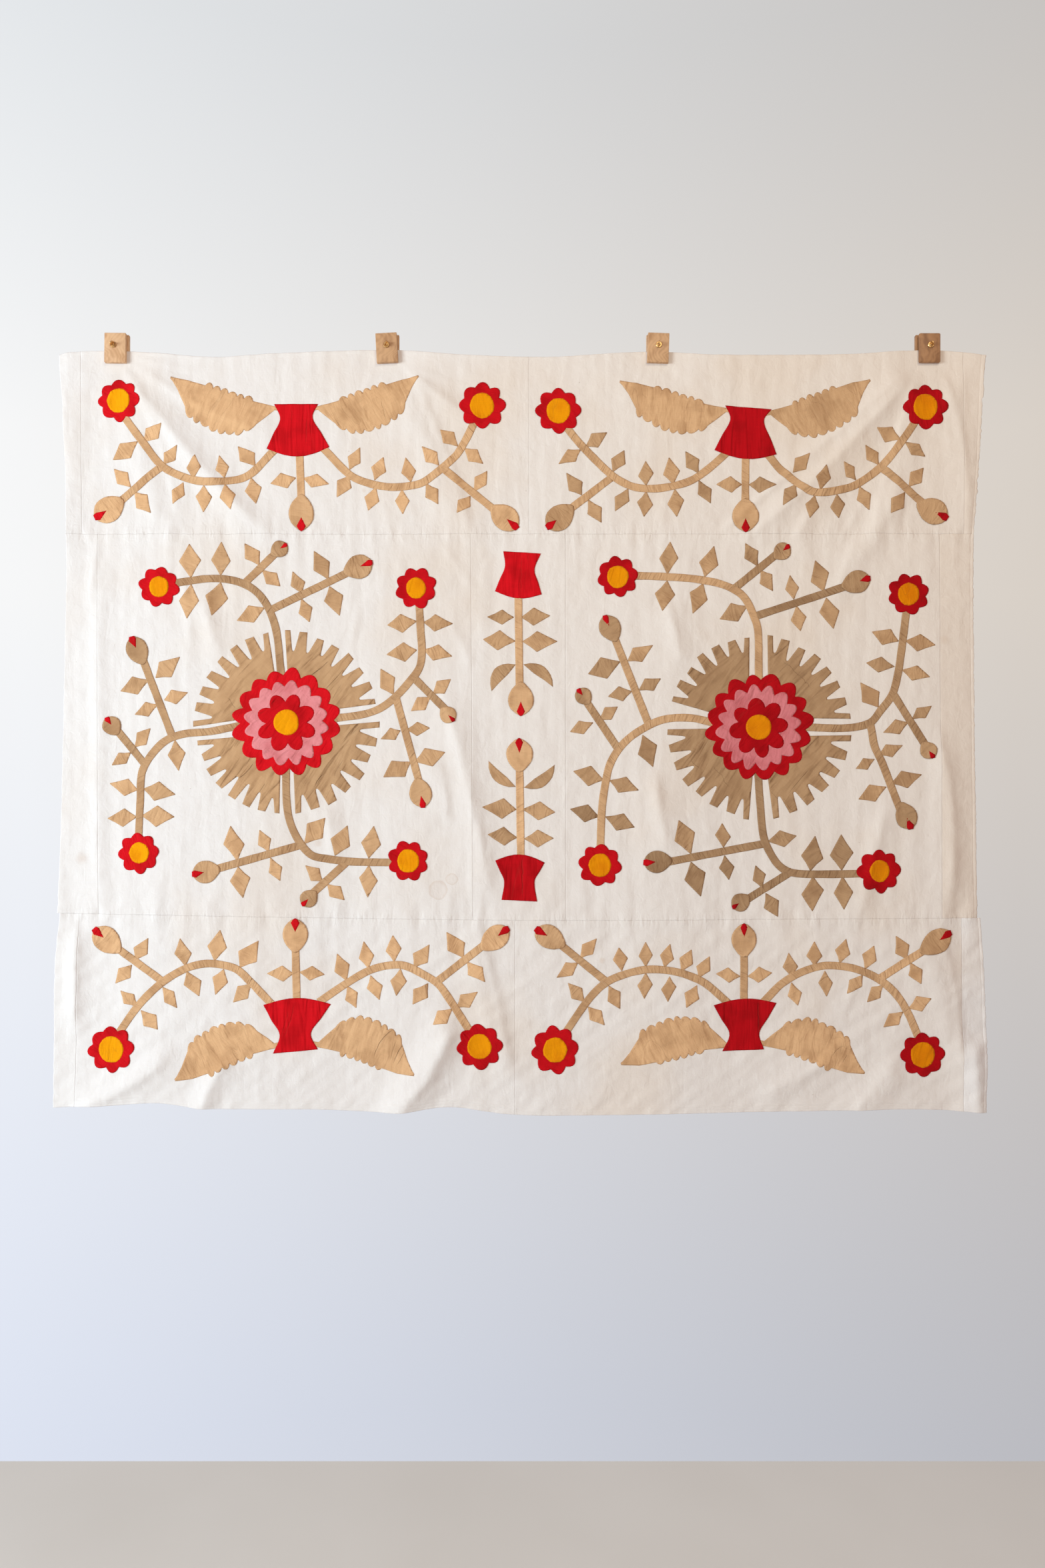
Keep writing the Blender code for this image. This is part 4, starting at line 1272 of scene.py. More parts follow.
@dataclass
class Ground:
    """The thirteen panels that are seamed into the ground."""

    cloth: Cloth
    take_up: float = 1.01  # how much wider a panel is cut than it hangs, as its folds take cloth up

    def panels(self) -> list[Panel]:
        """Every panel of the ground.

        Returns:
            The panels, band by band from the top.
        """
        found = []
        for number, band in enumerate(BANDS):
            top, foot = SmoothLine(band.top), SmoothLine(band.foot)
            high, low = top.at_zero(), foot.at_zero()
            sides = [SmoothLine(band.left)]
            sides += [SmoothLine(((high, seam[0]), (low, seam[1]))) for seam in band.seams]
            sides += [SmoothLine(band.right)]
            for k, name in enumerate(band.names):
                outer = (number == 0, number == len(BANDS) - 1, k == 0, k == len(band.names) - 1)
                found.append(Panel(name, top, foot, sides[k], sides[k + 1], outer, HELD_BY[name]))
        return found

    def build(self, room: Workroom) -> dict[str, bpy.types.Object]:
        """Makes the panels.

        Args:
            room: Where the pieces go.

        Returns:
            The panels' pieces, by name.
        """
        finish = GroundCotton().material()
        pieces = {}
        for panel in self.panels():
            mesh = panel.build(self.cloth)
            node = "ground_" + panel.name
            pieces[panel.name] = room.piece(panel.name, mesh, finish, "ground_cotton", (node,), CLOTH, 0.0)
        return pieces

    def declare(self,
                patches: dict[str, list[bpy.types.Object]]) -> None:
        """Works out each panel's lattice, what holds it and what is sewn on it, and keeps none of them.

        Args:
            patches: The pieces sewn on each panel.
        """
        for panel in self.panels():
            x, z = panel.lattice()
            rests = list(panel.held_by)
            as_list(patches.get(panel.name, []))


def edge_places(points: np.ndarray, outline: np.ndarray) -> tuple[np.ndarray, np.ndarray, float]:
    """Where points lie against an outline.

    Args:
        points: Places, a row each, in mm.
        outline: The outline's corners, a row each, in mm.

    Returns:
        How far along the outline the nearest place is, how far away it is, and the outline's length.
    """
    ends = np.roll(outline, -1, axis=0)
    runs = ends - outline
    lengths = np.hypot(runs[:, 0], runs[:, 1])
    starts = np.concatenate(([0], np.cumsum(lengths)[:-1]))
    offsets = points[:, None, :] - outline[None, :, :]
    share = np.clip((offsets * runs).sum(2) / lengths**2, 0, 1)
    apart = offsets - share[..., None] * runs
    away = np.hypot(apart[..., 0], apart[..., 1])
    nearest = away.argmin(1)
    picked = np.arange(len(points)), nearest
    return starts[nearest] + share[picked] * lengths[nearest], away[picked], float(lengths.sum())


@dataclass
class Shape:
    """A flat cut shape in the plane, with where its threads and its edge run, all in mm."""

    mesh: bpy.types.Mesh
    lie: np.ndarray
    hem: np.ndarray
    round_it: float
    fade: float
    level: float


@dataclass
class Cutter:
    """Cuts flat shapes out of cotton and lays them on the hanging cloth."""

    cloth: Cloth
    rng: np.random.Generator = field(default_factory=lambda: np.random.default_rng(PATCH_SEED))
    cell: float = 5.0

    def cut(self, outline: Outline, heading: float = 0.0, fade: float = 0.0, level: float = 0.0) -> Shape:
        """A shape with a rounded edge, divided finely enough to follow the folds.

        Args:
            outline: Its corners in order.
            heading: The direction in which its threads run, in degrees.
            fade: How far its colour has gone from fresh to faded.
            level: How many patches lie under it.

        Returns:
            The flat shape.
        """
        bm = bmesh.new()
        face = bm.faces.new([bm.verts.new((x, z, 0)) for x, z in outline])
        face.normal_update()
        if face.normal.z < 0:
            face.normal_flip()
        bmesh.ops.inset_region(bm, faces=[face], thickness=TURN, use_even_offset=True)
        corners = np.array(outline)
        for axis in (0, 1):
            low, high = corners[:, axis].min(), corners[:, axis].max()
            normal = Vector((1, 0, 0)) if axis == 0 else Vector((0, 1, 0))
            count = max(1, round((high - low) / self.cell))
            for k in range(1, count):
                geometry = bm.verts[:] + bm.edges[:] + bm.faces[:]
                plane = normal * (low + (high - low) * k / count)
                bmesh.ops.bisect_plane(bm, geom=geometry, dist=0.01, plane_co=plane, plane_no=normal)
        mesh = mesh_from(bm, "shape")
        places = coordinates(mesh)[:, :2]
        along, away, length = edge_places(places, corners)
        turned = math.radians(heading)
        centred = places - corners.mean(0)
        lie = np.column_stack((
            centred[:, 0] * math.cos(turned) + centred[:, 1] * math.sin(turned),
            centred[:, 1] * math.cos(turned) - centred[:, 0] * math.sin(turned),
        )) + self.rng.uniform(0, 900, 2)
        return Shape(mesh, lie, np.column_stack((along, away)), length, fade, level)

    def ribbon(self, path: Points, width: float, fade: float, level: float) -> Shape:
        """A strip of even width along a smooth path, its ends cut square.

        Args:
            path: A few places on its middle line.
            width: Its width.
            fade: How far its colour has gone from fresh to faded.
            level: How many patches lie under it.

        Returns:
            The flat shape.
        """
        line = smooth_path(path, self.cell)
        runs = np.gradient(line, axis=0)
        runs /= np.hypot(runs[:, 0], runs[:, 1])[:, None]
        steps = np.hypot(*np.diff(line, axis=0).T)
        along = np.concatenate(([0], np.cumsum(steps)))
        wander = self.rng.uniform(0, 90)
        half = width / 2 + 0.5 * self.cloth.noise.at(along / 31, np.full_like(along, wander))
        across = np.array((-1, 2 * TURN / width - 1, -0.34, 0.34, 1 - 2 * TURN / width, 1))
        mesh, k, row = grid("ribbon", len(line), len(across))
        side = across[row] * half[k]
        x = line[k, 0] - runs[k, 1] * side
        z = line[k, 1] + runs[k, 0] * side
        mesh.vertices.foreach_set("co", np.column_stack((x, z, 0 * x)).astype(np.float32).ravel())
        ends = np.minimum(along[k], along[-1] - along[k]) * 0.5
        away = np.minimum(half[k] - np.abs(side), ends)
        slant = self.rng.choice((-1, 1)) * self.rng.uniform(0.25, 0.55)
        lie = np.column_stack((along[k] + slant * side, side)) + self.rng.uniform(0, 900, 2)
        return Shape(mesh, lie, np.column_stack((along[k], away)), 1e6, fade, level)

    def lay(self, shapes: list[Shape]) -> bpy.types.Mesh:
        """One mesh of some shapes, each on the hanging cloth at its own level.

        Args:
            shapes: Flat shapes.

        Returns:
            The mesh, in metres, with its maps lie and hem and the attribute fade.
        """
        bm = bmesh.new()
        for shape in shapes:
            bm.from_mesh(shape.mesh)
        mesh = mesh_from(bm, "laid")
        counts = [len(shape.mesh.vertices) for shape in shapes]
        flat = coordinates(mesh)
        x, z = flat[:, 0], flat[:, 1]
        hem = np.concatenate([shape.hem for shape in shapes])
        level = np.repeat([shape.level for shape in shapes], counts)
        rounded = np.sqrt(np.clip(hem[:, 1] / TURN, 0, 1))
        pillow = PATCH_PILLOW * (1 - np.exp(-hem[:, 1] / 9))
        front = CLOTH / 2 + PATCH_EDGE + PATCH_SWELL * rounded + pillow + level * LEVEL_STEP
        self.map_piece(mesh, shapes, counts, hem)
        place_vertices(mesh, x, self.cloth.middle(x, z) - front, z)
        for shape in shapes:
            bpy.data.meshes.remove(shape.mesh)
        return mesh

    def map_piece(self, mesh: bpy.types.Mesh, shapes: list[Shape], counts: list[int],
                  hem: np.ndarray) -> None:
        """Gives a mesh its maps lie and hem and the attribute fade.

        Args:
            mesh: The mesh.
            shapes: The shapes it was made of.
            counts: How many vertices each gave it.
            hem: Where each vertex lies against its shape's edge.
        """
        corners = whole_numbers(mesh.loops, "vertex_index")
        starts = whole_numbers(mesh.polygons, "loop_start")
        sizes = whole_numbers(mesh.polygons, "loop_total")
        lie = np.concatenate([shape.lie for shape in shapes])
        length = np.repeat([shape.round_it for shape in shapes], counts)
        along = hem[corners, 0]
        furthest = np.repeat(np.maximum.reduceat(along, starts), sizes)
        wrapped = furthest - along > length[corners] / 2
        along = np.where(wrapped, along + length[corners], along)
        furthest = np.repeat(np.maximum.reduceat(along, starts), sizes)
        nearest = np.repeat(np.minimum.reduceat(along, starts), sizes)
        along = np.where(furthest - nearest > 15, furthest, along)
        for name, values in (("lie", lie[corners]), ("hem", np.column_stack((along, hem[corners, 1])))):
            layer = mesh.uv_layers.new(name=name)
            layer.data.foreach_set("uv", (values * MM).astype(np.float32).ravel())
        add_numbers(mesh, "fade", np.repeat([shape.fade for shape in shapes], counts))


def smooth_path(path: Points, step: float) -> np.ndarray:
    """Places about a step apart along a smooth curve through a few points.

    Args:
        path: The points.
        step: The distance between places.

    Returns:
        A row for each place.
    """
    points = np.array(path, float)
    if len(points) == 2:
        count = max(2, round(float(np.hypot(*(points[1] - points[0]))) / step))
        return points[0] + (points[1] - points[0]) * np.linspace(0, 1, count + 1)[:, None]
    knots = np.concatenate(([0], np.cumsum(np.hypot(*np.diff(points, axis=0).T))))
    fine = np.linspace(0, knots[-1], 40 * len(points))
    curve = np.column_stack([SmoothLine(tuple(zip(knots, points[:, k]))).at(fine) for k in (0, 1)])
    gone = np.concatenate(([0], np.cumsum(np.hypot(*np.diff(curve, axis=0).T))))
    places = np.linspace(0, gone[-1], max(2, round(gone[-1] / step)) + 1)
    return np.column_stack([np.interp(places, gone, curve[:, k]) for k in (0, 1)])


class Cutout:
    """What is cut flat out of cotton."""

    def outline(self, rng: np.random.Generator) -> Outline:
        """Its outline where it is sewn on.

        Args:
            rng: Where its unevenness comes from.

        Returns:
            The outline's corners, in mm.
        """
        raise NotImplementedError


@dataclass(frozen=True)
class Leaf(Cutout):
    """A leaf: where it leaves its stem, in mm, its heading in degrees and its length."""

    x: float
    z: float
    heading: float
    length: float

    def outline(self, rng: np.random.Generator) -> Outline:
        """A slim rhombus with slightly bowed sides and a blunt tip.

        Args:
            rng: Where its unevenness comes from.

        Returns:
            The outline's corners, in mm.
        """
        half, long = self.length * rng.uniform(0.295, 0.345), self.length + 2
        upper, lower = self.length * rng.uniform(0.38, 0.54, 2)
        bow = rng.uniform(-0.4, 1.2, 4)
        local = [
            (-2, -0.8), (lower * 0.5, -half * 0.5 - bow[0]), (lower - 1.2, -half), (lower + 1.2, -half),
            ((lower + long) / 2, -half * 0.5 - bow[1]), (long, -0.8),
            (long, 0.8), ((upper + long) / 2, half * 0.5 + bow[2]), (upper + 1.2, half), (upper - 1.2, half),
            (upper * 0.5, half * 0.5 + bow[3]), (-2, 0.8),
        ]
        return turned_to(local, self.x, self.z, self.heading)


@dataclass(frozen=True)
class HalfMoon(Cutout):
    """A half-moon leaf: its stalk end, its tip, and how far it bulges to its left, in mm."""

    x: float
    z: float
    tip_x: float
    tip_z: float
    bulge: float

    def outline(self, rng: np.random.Generator) -> Outline:
        """A straight side and a full round one.

        Args:
            rng: Where its unevenness comes from.

        Returns:
            The outline's corners, in mm.
        """
        length = math.hypot(self.tip_x - self.x, self.tip_z - self.z)
        local = [(0, 0), (length * 0.35, 2 * math.copysign(1, -self.bulge)), (length * 0.7, 0), (length, 0)]
        for k in range(1, 8):
            share = k / 8
            full = math.sin(math.pi * share) ** 0.75
            local.append((length * (1 - share), self.bulge * full * rng.uniform(0.97, 1.03)))
        heading = math.degrees(math.atan2(self.tip_z - self.z, self.tip_x - self.x))
        return turned_to(local, self.x, self.z, heading)


@dataclass(frozen=True)
class Bud(Cutout):
    """A bud: its middle and half its width and length, in mm, and the heading of its tip in degrees."""

    x: float
    z: float
    half: float
    long: float
    heading: float
    pointed: bool = False

    def outline(self, rng: np.random.Generator) -> Outline:
        """An egg-shaped disc, drawn out a little at its tip and at its stem.

        Args:
            rng: Where its unevenness comes from.

        Returns:
            The outline's corners, in mm.
        """
        local = []
        for k in range(22):
            angle = 2 * math.pi * k / 22
            radius = rng.uniform(0.985, 1.015)
            ahead = math.cos(angle)
            tip = (0.15 if self.pointed else 0.09) * max(0.0, ahead) ** 10
            point = 1 + tip + 0.2 * max(0.0, -ahead) ** 8
            half = self.half * (1 + 0.08 * ahead)
            local.append((self.long * ahead * radius * point, half * math.sin(angle) * radius))
        return turned_to(local, self.x, self.z, self.heading)

    def tip(self, rng: np.random.Generator) -> Outline:
        """The red wedge at its end: a point inwards, and a blunt end a little over the edge.

        Args:
            rng: Where its unevenness comes from.

        Returns:
            The outline's corners, in mm.
        """
        size = (self.half + self.long) / 2
        inner = self.long - size * rng.uniform(0.80, 0.95)
        wide = size * rng.uniform(0.26, 0.33)
        end = self.long * (1.18 if self.pointed else 1.15)
        shoulder = self.long * 0.86
        if self.pointed:
            local = [(inner, 0), (shoulder, -wide), (end - 3, -wide * 0.5), (end, 0), (end - 3, wide * 0.5),
                     (shoulder, wide)]
        else:
            local = [(inner, 0), (shoulder, -wide), (end - 2, -wide * 0.8), (end, wide * 0.5),
                     (shoulder, wide)]
        return turned_to(local, self.x, self.z, self.heading)


@dataclass(frozen=True)
class Flower(Cutout):
    """A small flower: its middle, the radii of its petals and its middle, in mm, and its turn in degrees."""

    x: float
    z: float
    radius: float
    middle: float
    turn: float = 0.0

    def outline(self, rng: np.random.Generator) -> Outline:
        """Eight uneven scallops."""
        return scallops(Scalloped(8, self.radius * 0.82, self.radius, 1.15), self.x, self.z, self.turn, rng)

    def eye(self, rng: np.random.Generator) -> Outline:
        """The round middle.

        Args:
            rng: Where its unevenness comes from.

        Returns:
            The outline's corners, in mm.
        """
        radii = self.middle * rng.uniform(0.965, 1.035, 16)
        stretch = 1.06
        angles = np.arange(16) * math.pi / 8
        return [(self.x + r * math.cos(a), self.z + stretch * r * math.sin(a)) for r, a in zip(radii, angles)]


class Scalloped(NamedTuple):
    """A scalloped round: its scallops' count, the radii of its notches and tips in mm, and their slimness."""

    lobes: int
    valley: float
    tip: float
    slim: float


def scallops(form: Scalloped, x: float, z: float, turn: float, rng: np.random.Generator) -> Outline:
    """A round outline with uneven rounded scallops.

    Args:
        form: Its scallops and radii.
        x: Its middle, in mm.
        z: Its middle, in mm.
        turn: The heading of its first tip, in degrees.
        rng: Where its unevenness comes from.

    Returns:
        The outline, in mm.
    """
    steps = 8
    pitch = 2 * math.pi / form.lobes
    starts = (np.arange(form.lobes + 1) - 0.5) * pitch
    starts[:-1] += rng.uniform(-0.07, 0.07, form.lobes) * pitch
    starts[-1] = starts[0] + 2 * math.pi
    tips = form.tip * rng.uniform(0.965, 1.03, form.lobes)
    valleys = form.valley * rng.uniform(0.97, 1.02, form.lobes)
    loop = []
    for k in range(form.lobes):
        low, after = valleys[k], valleys[(k + 1) % form.lobes]
        lean = rng.uniform(-0.12, 0.12)
        for step in range(steps):
            share = step / steps
            leaning = share + lean * math.sin(math.pi * share) ** 2 * (0.5 - share)
            swell = math.sin(math.pi * leaning) ** form.slim
            radius = low + (after - low) * share + (tips[k] - (low + (after - low) * share)) * swell
            angle = starts[k] + (starts[k + 1] - starts[k]) * share + math.radians(turn)
            loop.append((x + radius * math.cos(angle), z + radius * math.sin(angle)))
    return loop


def turned_to(local: Outline, x: float, z: float, heading: float) -> Outline:
    """An outline drawn along +X, turned to a heading in degrees and moved to a place."""
    cos, sin = math.cos(math.radians(heading)), math.sin(math.radians(heading))
    return [(x + u * cos - v * sin, z + u * sin + v * cos) for u, v in local]


@dataclass(frozen=True)
class Vine:
    """What grows from one pot or rosette: the paths of its stems, its leaves, buds and flowers, in mm."""

    name: str
    panel: str
    stems: tuple[Points, ...]
    leaves: tuple[Leaf, ...]
    buds: tuple[Bud, ...]
    flowers: tuple[Flower, ...] = ()
    moons: tuple[HalfMoon, ...] = ()
    stem_fade: float = 0.2
    leaf_fade: float = 0.2
    # how much darker its pieces below low_z are
    low_darkening: float = 0.0
    low_z: float = -1120
    stem_tones: tuple[float, ...] = ()
    stem_width: float = 18.4


VINES = (
    Vine(
        "vine_top_left", "top_left",
        stems=(
            ((-585, -235), (-599, -249), (-657, -305), (-713, -321), (-767, -321), (-823, -305), (-865, -281),
             (-905, -231), (-950, -170), (-956, -160)),
            ((-858, -279), (-968, -371)),
            ((-535, -240), (-530, -372)),
            ((-490, -228), (-473, -244), (-415, -302), (-375, -321), (-322, -332), (-273, -330), (-231, -318),
             (-162, -260), (-138, -223), (-112, -172)),
            ((-198, -283), (-64, -390)),
        ),
        leaves=table_of(
            Leaf,
            (-905, -224, 44, 57), (-922, -226, -145, 70), (-858, -278, 52, 52), (-939, -332, 133, 56),
            (-928, -346, -52, 61), (-813, -324, -116, 53), (-788, -313, 84, 53), (-762, -332, -92, 59),
            (-713, -311, 104, 53), (-710, -330, -78, 57), (-641, -281, 132, 59), (-650, -312, -79, 60),
            (-545, -311, -167, 58), (-524, -311, -13, 59), (-414, -289, 65, 55), (-416, -306, -120, 56),
            (-354, -314, 69, 55), (-352, -333, -108, 56), (-268, -319, 102, 56), (-289, -340, -88, 55),
            (-201, -281, 132, 57), (-230, -326, -60, 54), (-156, -234, 137, 54), (-138, -241, -39, 54),
            (-116, -342, 57, 55), (-126, -356, -128, 48),
        ),
        buds=table_of(
            Bud,
            (-991, -386, 31, 36, 213), (-530, -394, 30, 38, -90, True), (-42, -406, 30, 36, -40),
        ),
        flowers=table_of(Flower, (-967, -126, 52, 28, 2), (-97, -138, 56, 29, 0)),
        stem_fade=0.12, leaf_fade=0.08,
    ),
    Vine(
        "vine_top_right", "top_right",
        stems=(
            ((500, -240), (482, -257), (439, -294), (402, -318), (353, -332), (305, -337), (260, -330),
             (215, -305), (137, -228), (100, -182)),
            ((216, -308), (108, -390)),
            ((535, -245), (534, -378)),
            ((575, -240), (593, -260), (620, -294), (649, -318), (682, -342), (711, -348), (759, -340),
             (801, -326), (862, -281), (914, -215), (944, -170)),
            ((856, -283), (962, -374)),
        ),
        leaves=table_of(
            Leaf,
            (153, -234, 33, 57), (138, -244, -147, 59), (217, -295, 62, 55), (252, -338, -120, 58),
            (296, -327, 91, 54), (296, -345, -95, 57), (361, -324, 99, 61), (365, -340, -86, 62),
            (421, -298, 121, 57), (423, -318, -62, 58), (141, -350, 125, 60), (158, -364, -60, 60),
            (524, -326, 180, 57), (545, -326, -2, 60), (648, -298, 49, 57), (653, -329, -122, 57),
            (712, -340, 77, 57), (698, -356, -102, 51), (753, -352, -85, 53), (798, -314, 126, 48),
            (808, -332, -68, 58), (853, -278, 126, 53), (902, -220, 153, 59), (916, -228, -33, 56),
            (926, -331, 52, 54), (914, -348, -125, 58),
        ),
        buds=table_of(
            Bud,
            (89, -406, 30, 36, 220), (534, -401, 32, 35, -90, True), (982, -391, 31, 36, -25),
        ),
        flowers=table_of(Flower, (86, -150, 55, 29, 0), (964, -142, 54, 30, 3)),
        stem_fade=0.42, leaf_fade=0.52,
    ),
    Vine(
        "vine_rosette_left", "middle_left",
        stems=(
            ((-572, -806), (-578, -778), (-589, -680), (-607, -626), (-631, -590), (-663, -567), (-708, -554),
             (-758, -553), (-794, -558), (-836, -564)),
            ((-668, -566), (-586, -487)),
            ((-608, -630), (-416, -536)),
            ((-650, -903), (-681, -906), (-750, -919), (-807, -924), (-847, -937), (-876, -961), (-900, -994),
             (-911, -1023), (-914, -1087), (-918, -1174)),
            ((-838, -929), (-910, -743)),
            ((-898, -1003), (-974, -911)),
            ((-470, -889), (-455, -887), (-386, -878), (-345, -865), (-310, -841), (-273, -802), (-247, -766),
             (-241, -729), (-244, -676), (-248, -606)),
            ((-260, -790), (-182, -868)),
            ((-303, -838), (-247, -1040)),
            ((-566, -985), (-566, -1009), (-564, -1087), (-556, -1135), (-534, -1182), (-505, -1214),
             (-468, -1223), (-407, -1230), (-309, -1232)),
            ((-530, -1190), (-734, -1248)),
            ((-422, -1232), (-506, -1309)),
        ),
        leaves=table_of(
            Leaf,
            (-794, -549, 93, 78), (-793, -568, -97, 79), (-723, -543, 89, 77), (-723, -563, -104, 79),
            (-631, -519, 124, 59), (-622, -533, -42, 54), (-619, -623, -155, 69), (-876, -789, 41, 72),
            (-895, -796, -159, 70), (-855, -843, 18, 55), (-874, -855, -157, 56), (-927, -955, 50, 55),
            (-939, -970, -146, 50), (-831, -941, -83, 70), (-529, -586, 113, 53), (-529, -602, -71, 55),
            (-466, -552, 117, 72), (-462, -572, -71, 70), (-255, -655, -173, 67), (-235, -657, -3, 66),
            (-255, -724, -172, 69), (-235, -723, -13, 66), (-309, -829, 117, 66), (-213, -827, 39, 51),
            (-222, -837, -144, 53), (-294, -917, -157, 47), (-275, -914, 4, 51), (-269, -992, -151, 71),
            (-256, -990, 17, 72), (-922, -1058, 167, 65), (-904, -1056, -10, 73),
            (-924, -1123, -177, 66), (-908, -1120, -2, 74), (-607, -1205, 113, 53),
            (-602, -1222, -67, 56), (-682, -1226, 101, 81), (-679, -1244, -81, 71),
            (-521, -1186, 51, 76), (-448, -1214, 68, 74), (-368, -1220, 81, 74), (-368, -1240, -92, 73),
            (-480, -1276, 137, 52), (-466, -1285, -43, 52),
        ),
        buds=table_of(
            Bud,
            (-582, -482, 20, 20, 35), (-393, -524, 29, 32, 20), (-922, -724, 26, 32, 115),
            (-982, -905, 22, 22, 125), (-178, -879, 20, 20, -45), (-244, -1066, 27, 32, -78),
            (-756, -1254, 27, 30, 192), (-511, -1318, 21, 21, 225),
        ),
        flowers=table_of(
            Flower,
            (-870, -572, 49, 24, -10), (-916, -1209, 50, 24, 5), (-255, -575, 50, 24, 20),
            (-273, -1228, 50, 27, 22),
        ),
        stem_fade=0.46, leaf_fade=0.24,
    ),
    Vine(
        "vine_center_upper", "middle_center",
        stems=(((-10, -590), (-10, -601), (-7, -818)),),
        leaves=table_of(
            Leaf,
            (-23, -645, 179, 59), (-1, -645, 3, 65), (-19, -702, 177, 73), (2, -703, 0, 79),
        ),
        buds=table_of(Bud, (-4, -841, 31, 35, -90, True)),
        moons=table_of(HalfMoon, (-16, -758, -74, -822, -30), (2, -758, 73, -812, 26)),
        stem_fade=0.14, leaf_fade=0.46,
    ),
    Vine(
        "vine_center_lower", "middle_center",
        stems=(((-7, -998), (-7, -1009), (-4, -1222)),),
        leaves=table_of(
            Leaf,
            (-17, -1105, 176, 77), (2, -1105, -5, 74), (-15, -1172, 174, 66), (6, -1175, 1, 66),
        ),
        buds=table_of(Bud, (-7, -975, 32, 35, 92, True)),
        moons=table_of(HalfMoon, (-16, -1051, -81, -989, 24), (3, -1053, 77, -998, -27)),
        stem_fade=0.12, leaf_fade=0.52,
    ),
    Vine(
        "vine_rosette_right", "middle_right",
        stems=(
            ((567, -812), (566, -778), (564, -676), (553, -639), (535, -602), (514, -582), (478, -566),
             (433, -556), (377, -550), (265, -545)),
            ((506, -577), (612, -491)),
            ((558, -642), (778, -570)),
            ((470, -899), (455, -897), (409, -887), (367, -886), (330, -892), (295, -908), (258, -932),
             (230, -961), (209, -998), (199, -1039), (190, -1103), (186, -1203)),
            ((303, -905), (218, -688)),
            ((230, -962), (152, -846)),
            ((650, -907), (678, -908), (775, -910), (831, -898), (857, -868), (884, -831), (897, -786),
             (905, -737), (919, -626)),
            ((886, -828), (962, -951)),
            ((828, -897), (833, -905), (842, -953), (860, -994), (902, -1107)),
            ((564, -995), (564, -1015), (570, -1103), (577, -1169), (593, -1209), (617, -1242), (649, -1257),
             (730, -1260), (818, -1258)),
            ((584, -1186), (344, -1231)),
            ((646, -1252), (538, -1320)),
        ),
        leaves=table_of(
            Leaf,
            (347, -540, 85, 74), (346, -559, -99, 70), (437, -546, 73, 73), (432, -565, -109, 73),
            (564, -521, 120, 59), (572, -533, -60, 54), (650, -600, 99, 55), (657, -619, -81, 57),
            (537, -619, -155, 69), (253, -749, 32, 67), (232, -752, -159, 78), (280, -819, 28, 55),
            (260, -823, -168, 54), (184, -890, 35, 51), (167, -898, -158, 55), (288, -929, -72, 76),
            (721, -581, 105, 73), (728, -600, -77, 72), (898, -702, 160, 63), (918, -702, -8, 68),
            (888, -763, 172, 63), (910, -772, -14, 64), (851, -859, 126, 69), (933, -888, 34, 52),
            (920, -898, -158, 59), (854, -974, 22, 57), (840, -986, -153, 45), (192, -1034, 164, 71),
            (210, -1036, -19, 69), (181, -1122, 165, 67), (200, -1123, -20, 70), (481, -1194, 93, 54),
            (484, -1217, -80, 55), (402, -1210, 110, 82), (403, -1232, -74, 82), (574, -1291, 107, 52),
            (583, -1307, -63, 59), (590, -1181, 11, 65), (883, -1042, 16, 71), (868, -1052, -156, 68),
            (689, -1250, 82, 80), (695, -1267, -91, 79), (764, -1249, 91, 82), (766, -1267, -88, 75),
        ),
        buds=table_of(
            Bud,
            (622, -487, 21, 21, 40), (799, -561, 27, 32, 18), (210, -671, 26, 30, 115),
            (146, -834, 20, 20, 130), (969, -964, 20, 20, -55), (916, -1121, 26, 30, -68),
            (322, -1230, 27, 30, 185), (522, -1327, 22, 22, 215),
        ),
        flowers=table_of(
            Flower,
            (228, -548, 50, 26, 10), (185, -1238, 52, 27, -8), (924, -590, 50, 26, 15),
            (852, -1252, 53, 25, 5),
        ),
        stem_fade=0.62, leaf_fade=0.54, low_darkening=0.20,
        stem_tones=(0.45, 0.60, 0.72, 0.10, 0.48, 0.50, 0.62, 0.60, 0.60, 0.60, 0.64, 0.55),
    ),
    Vine(
        "vine_bottom_left", "bottom_left",
        stems=(
            ((-590, -1578), (-602, -1567), (-647, -1519), (-684, -1486), (-729, -1474), (-766, -1474),
             (-807, -1486), (-855, -1514), (-897, -1551), (-929, -1588), (-966, -1641)),
            ((-858, -1516), (-972, -1434)),
            ((-540, -1570), (-540, -1554), (-543, -1430)),
            ((-488, -1566), (-476, -1558), (-418, -1519), (-366, -1490), (-321, -1478), (-284, -1478),
             (-239, -1498), (-202, -1522), (-174, -1559), (-122, -1640)),
            ((-209, -1520), (-84, -1422)),
        ),
        leaves=table_of(
            Leaf,
            (-925, -1464, 59, 58), (-935, -1478, -132, 55), (-805, -1477, 101, 63),
            (-735, -1465, 80, 71), (-674, -1481, 55, 74), (-800, -1493, -64, 62),
            (-714, -1488, -108, 60), (-648, -1521, -134, 60), (-858, -1531, -55, 56),
            (-921, -1575, 137, 52), (-910, -1586, -48, 57), (-549, -1497, 180, 59),
            (-531, -1494, -6, 55), (-422, -1514, 109, 65), (-419, -1529, -68, 53),
            (-369, -1484, 100, 62), (-363, -1504, -70, 58), (-307, -1468, 93, 60),
            (-292, -1488, -99, 61), (-259, -1482, 56, 63), (-227, -1522, -126, 58),
            (-156, -1577, 37, 59), (-169, -1582, -141, 55), (-141, -1458, 124, 70),
            (-131, -1470, -48, 60),
        ),
        buds=table_of(
            Bud,
            (-994, -1417, 30, 37, 140), (-543, -1406, 30, 35, 90, True), (-65, -1412, 28, 36, 38),
        ),
        flowers=table_of(Flower, (-983, -1678, 56, 30, 5), (-103, -1671, 56, 29, 6)),
        stem_fade=0.10, leaf_fade=0.10,
    ),
    Vine(
        "vine_bottom_right", "bottom_right",
        stems=(
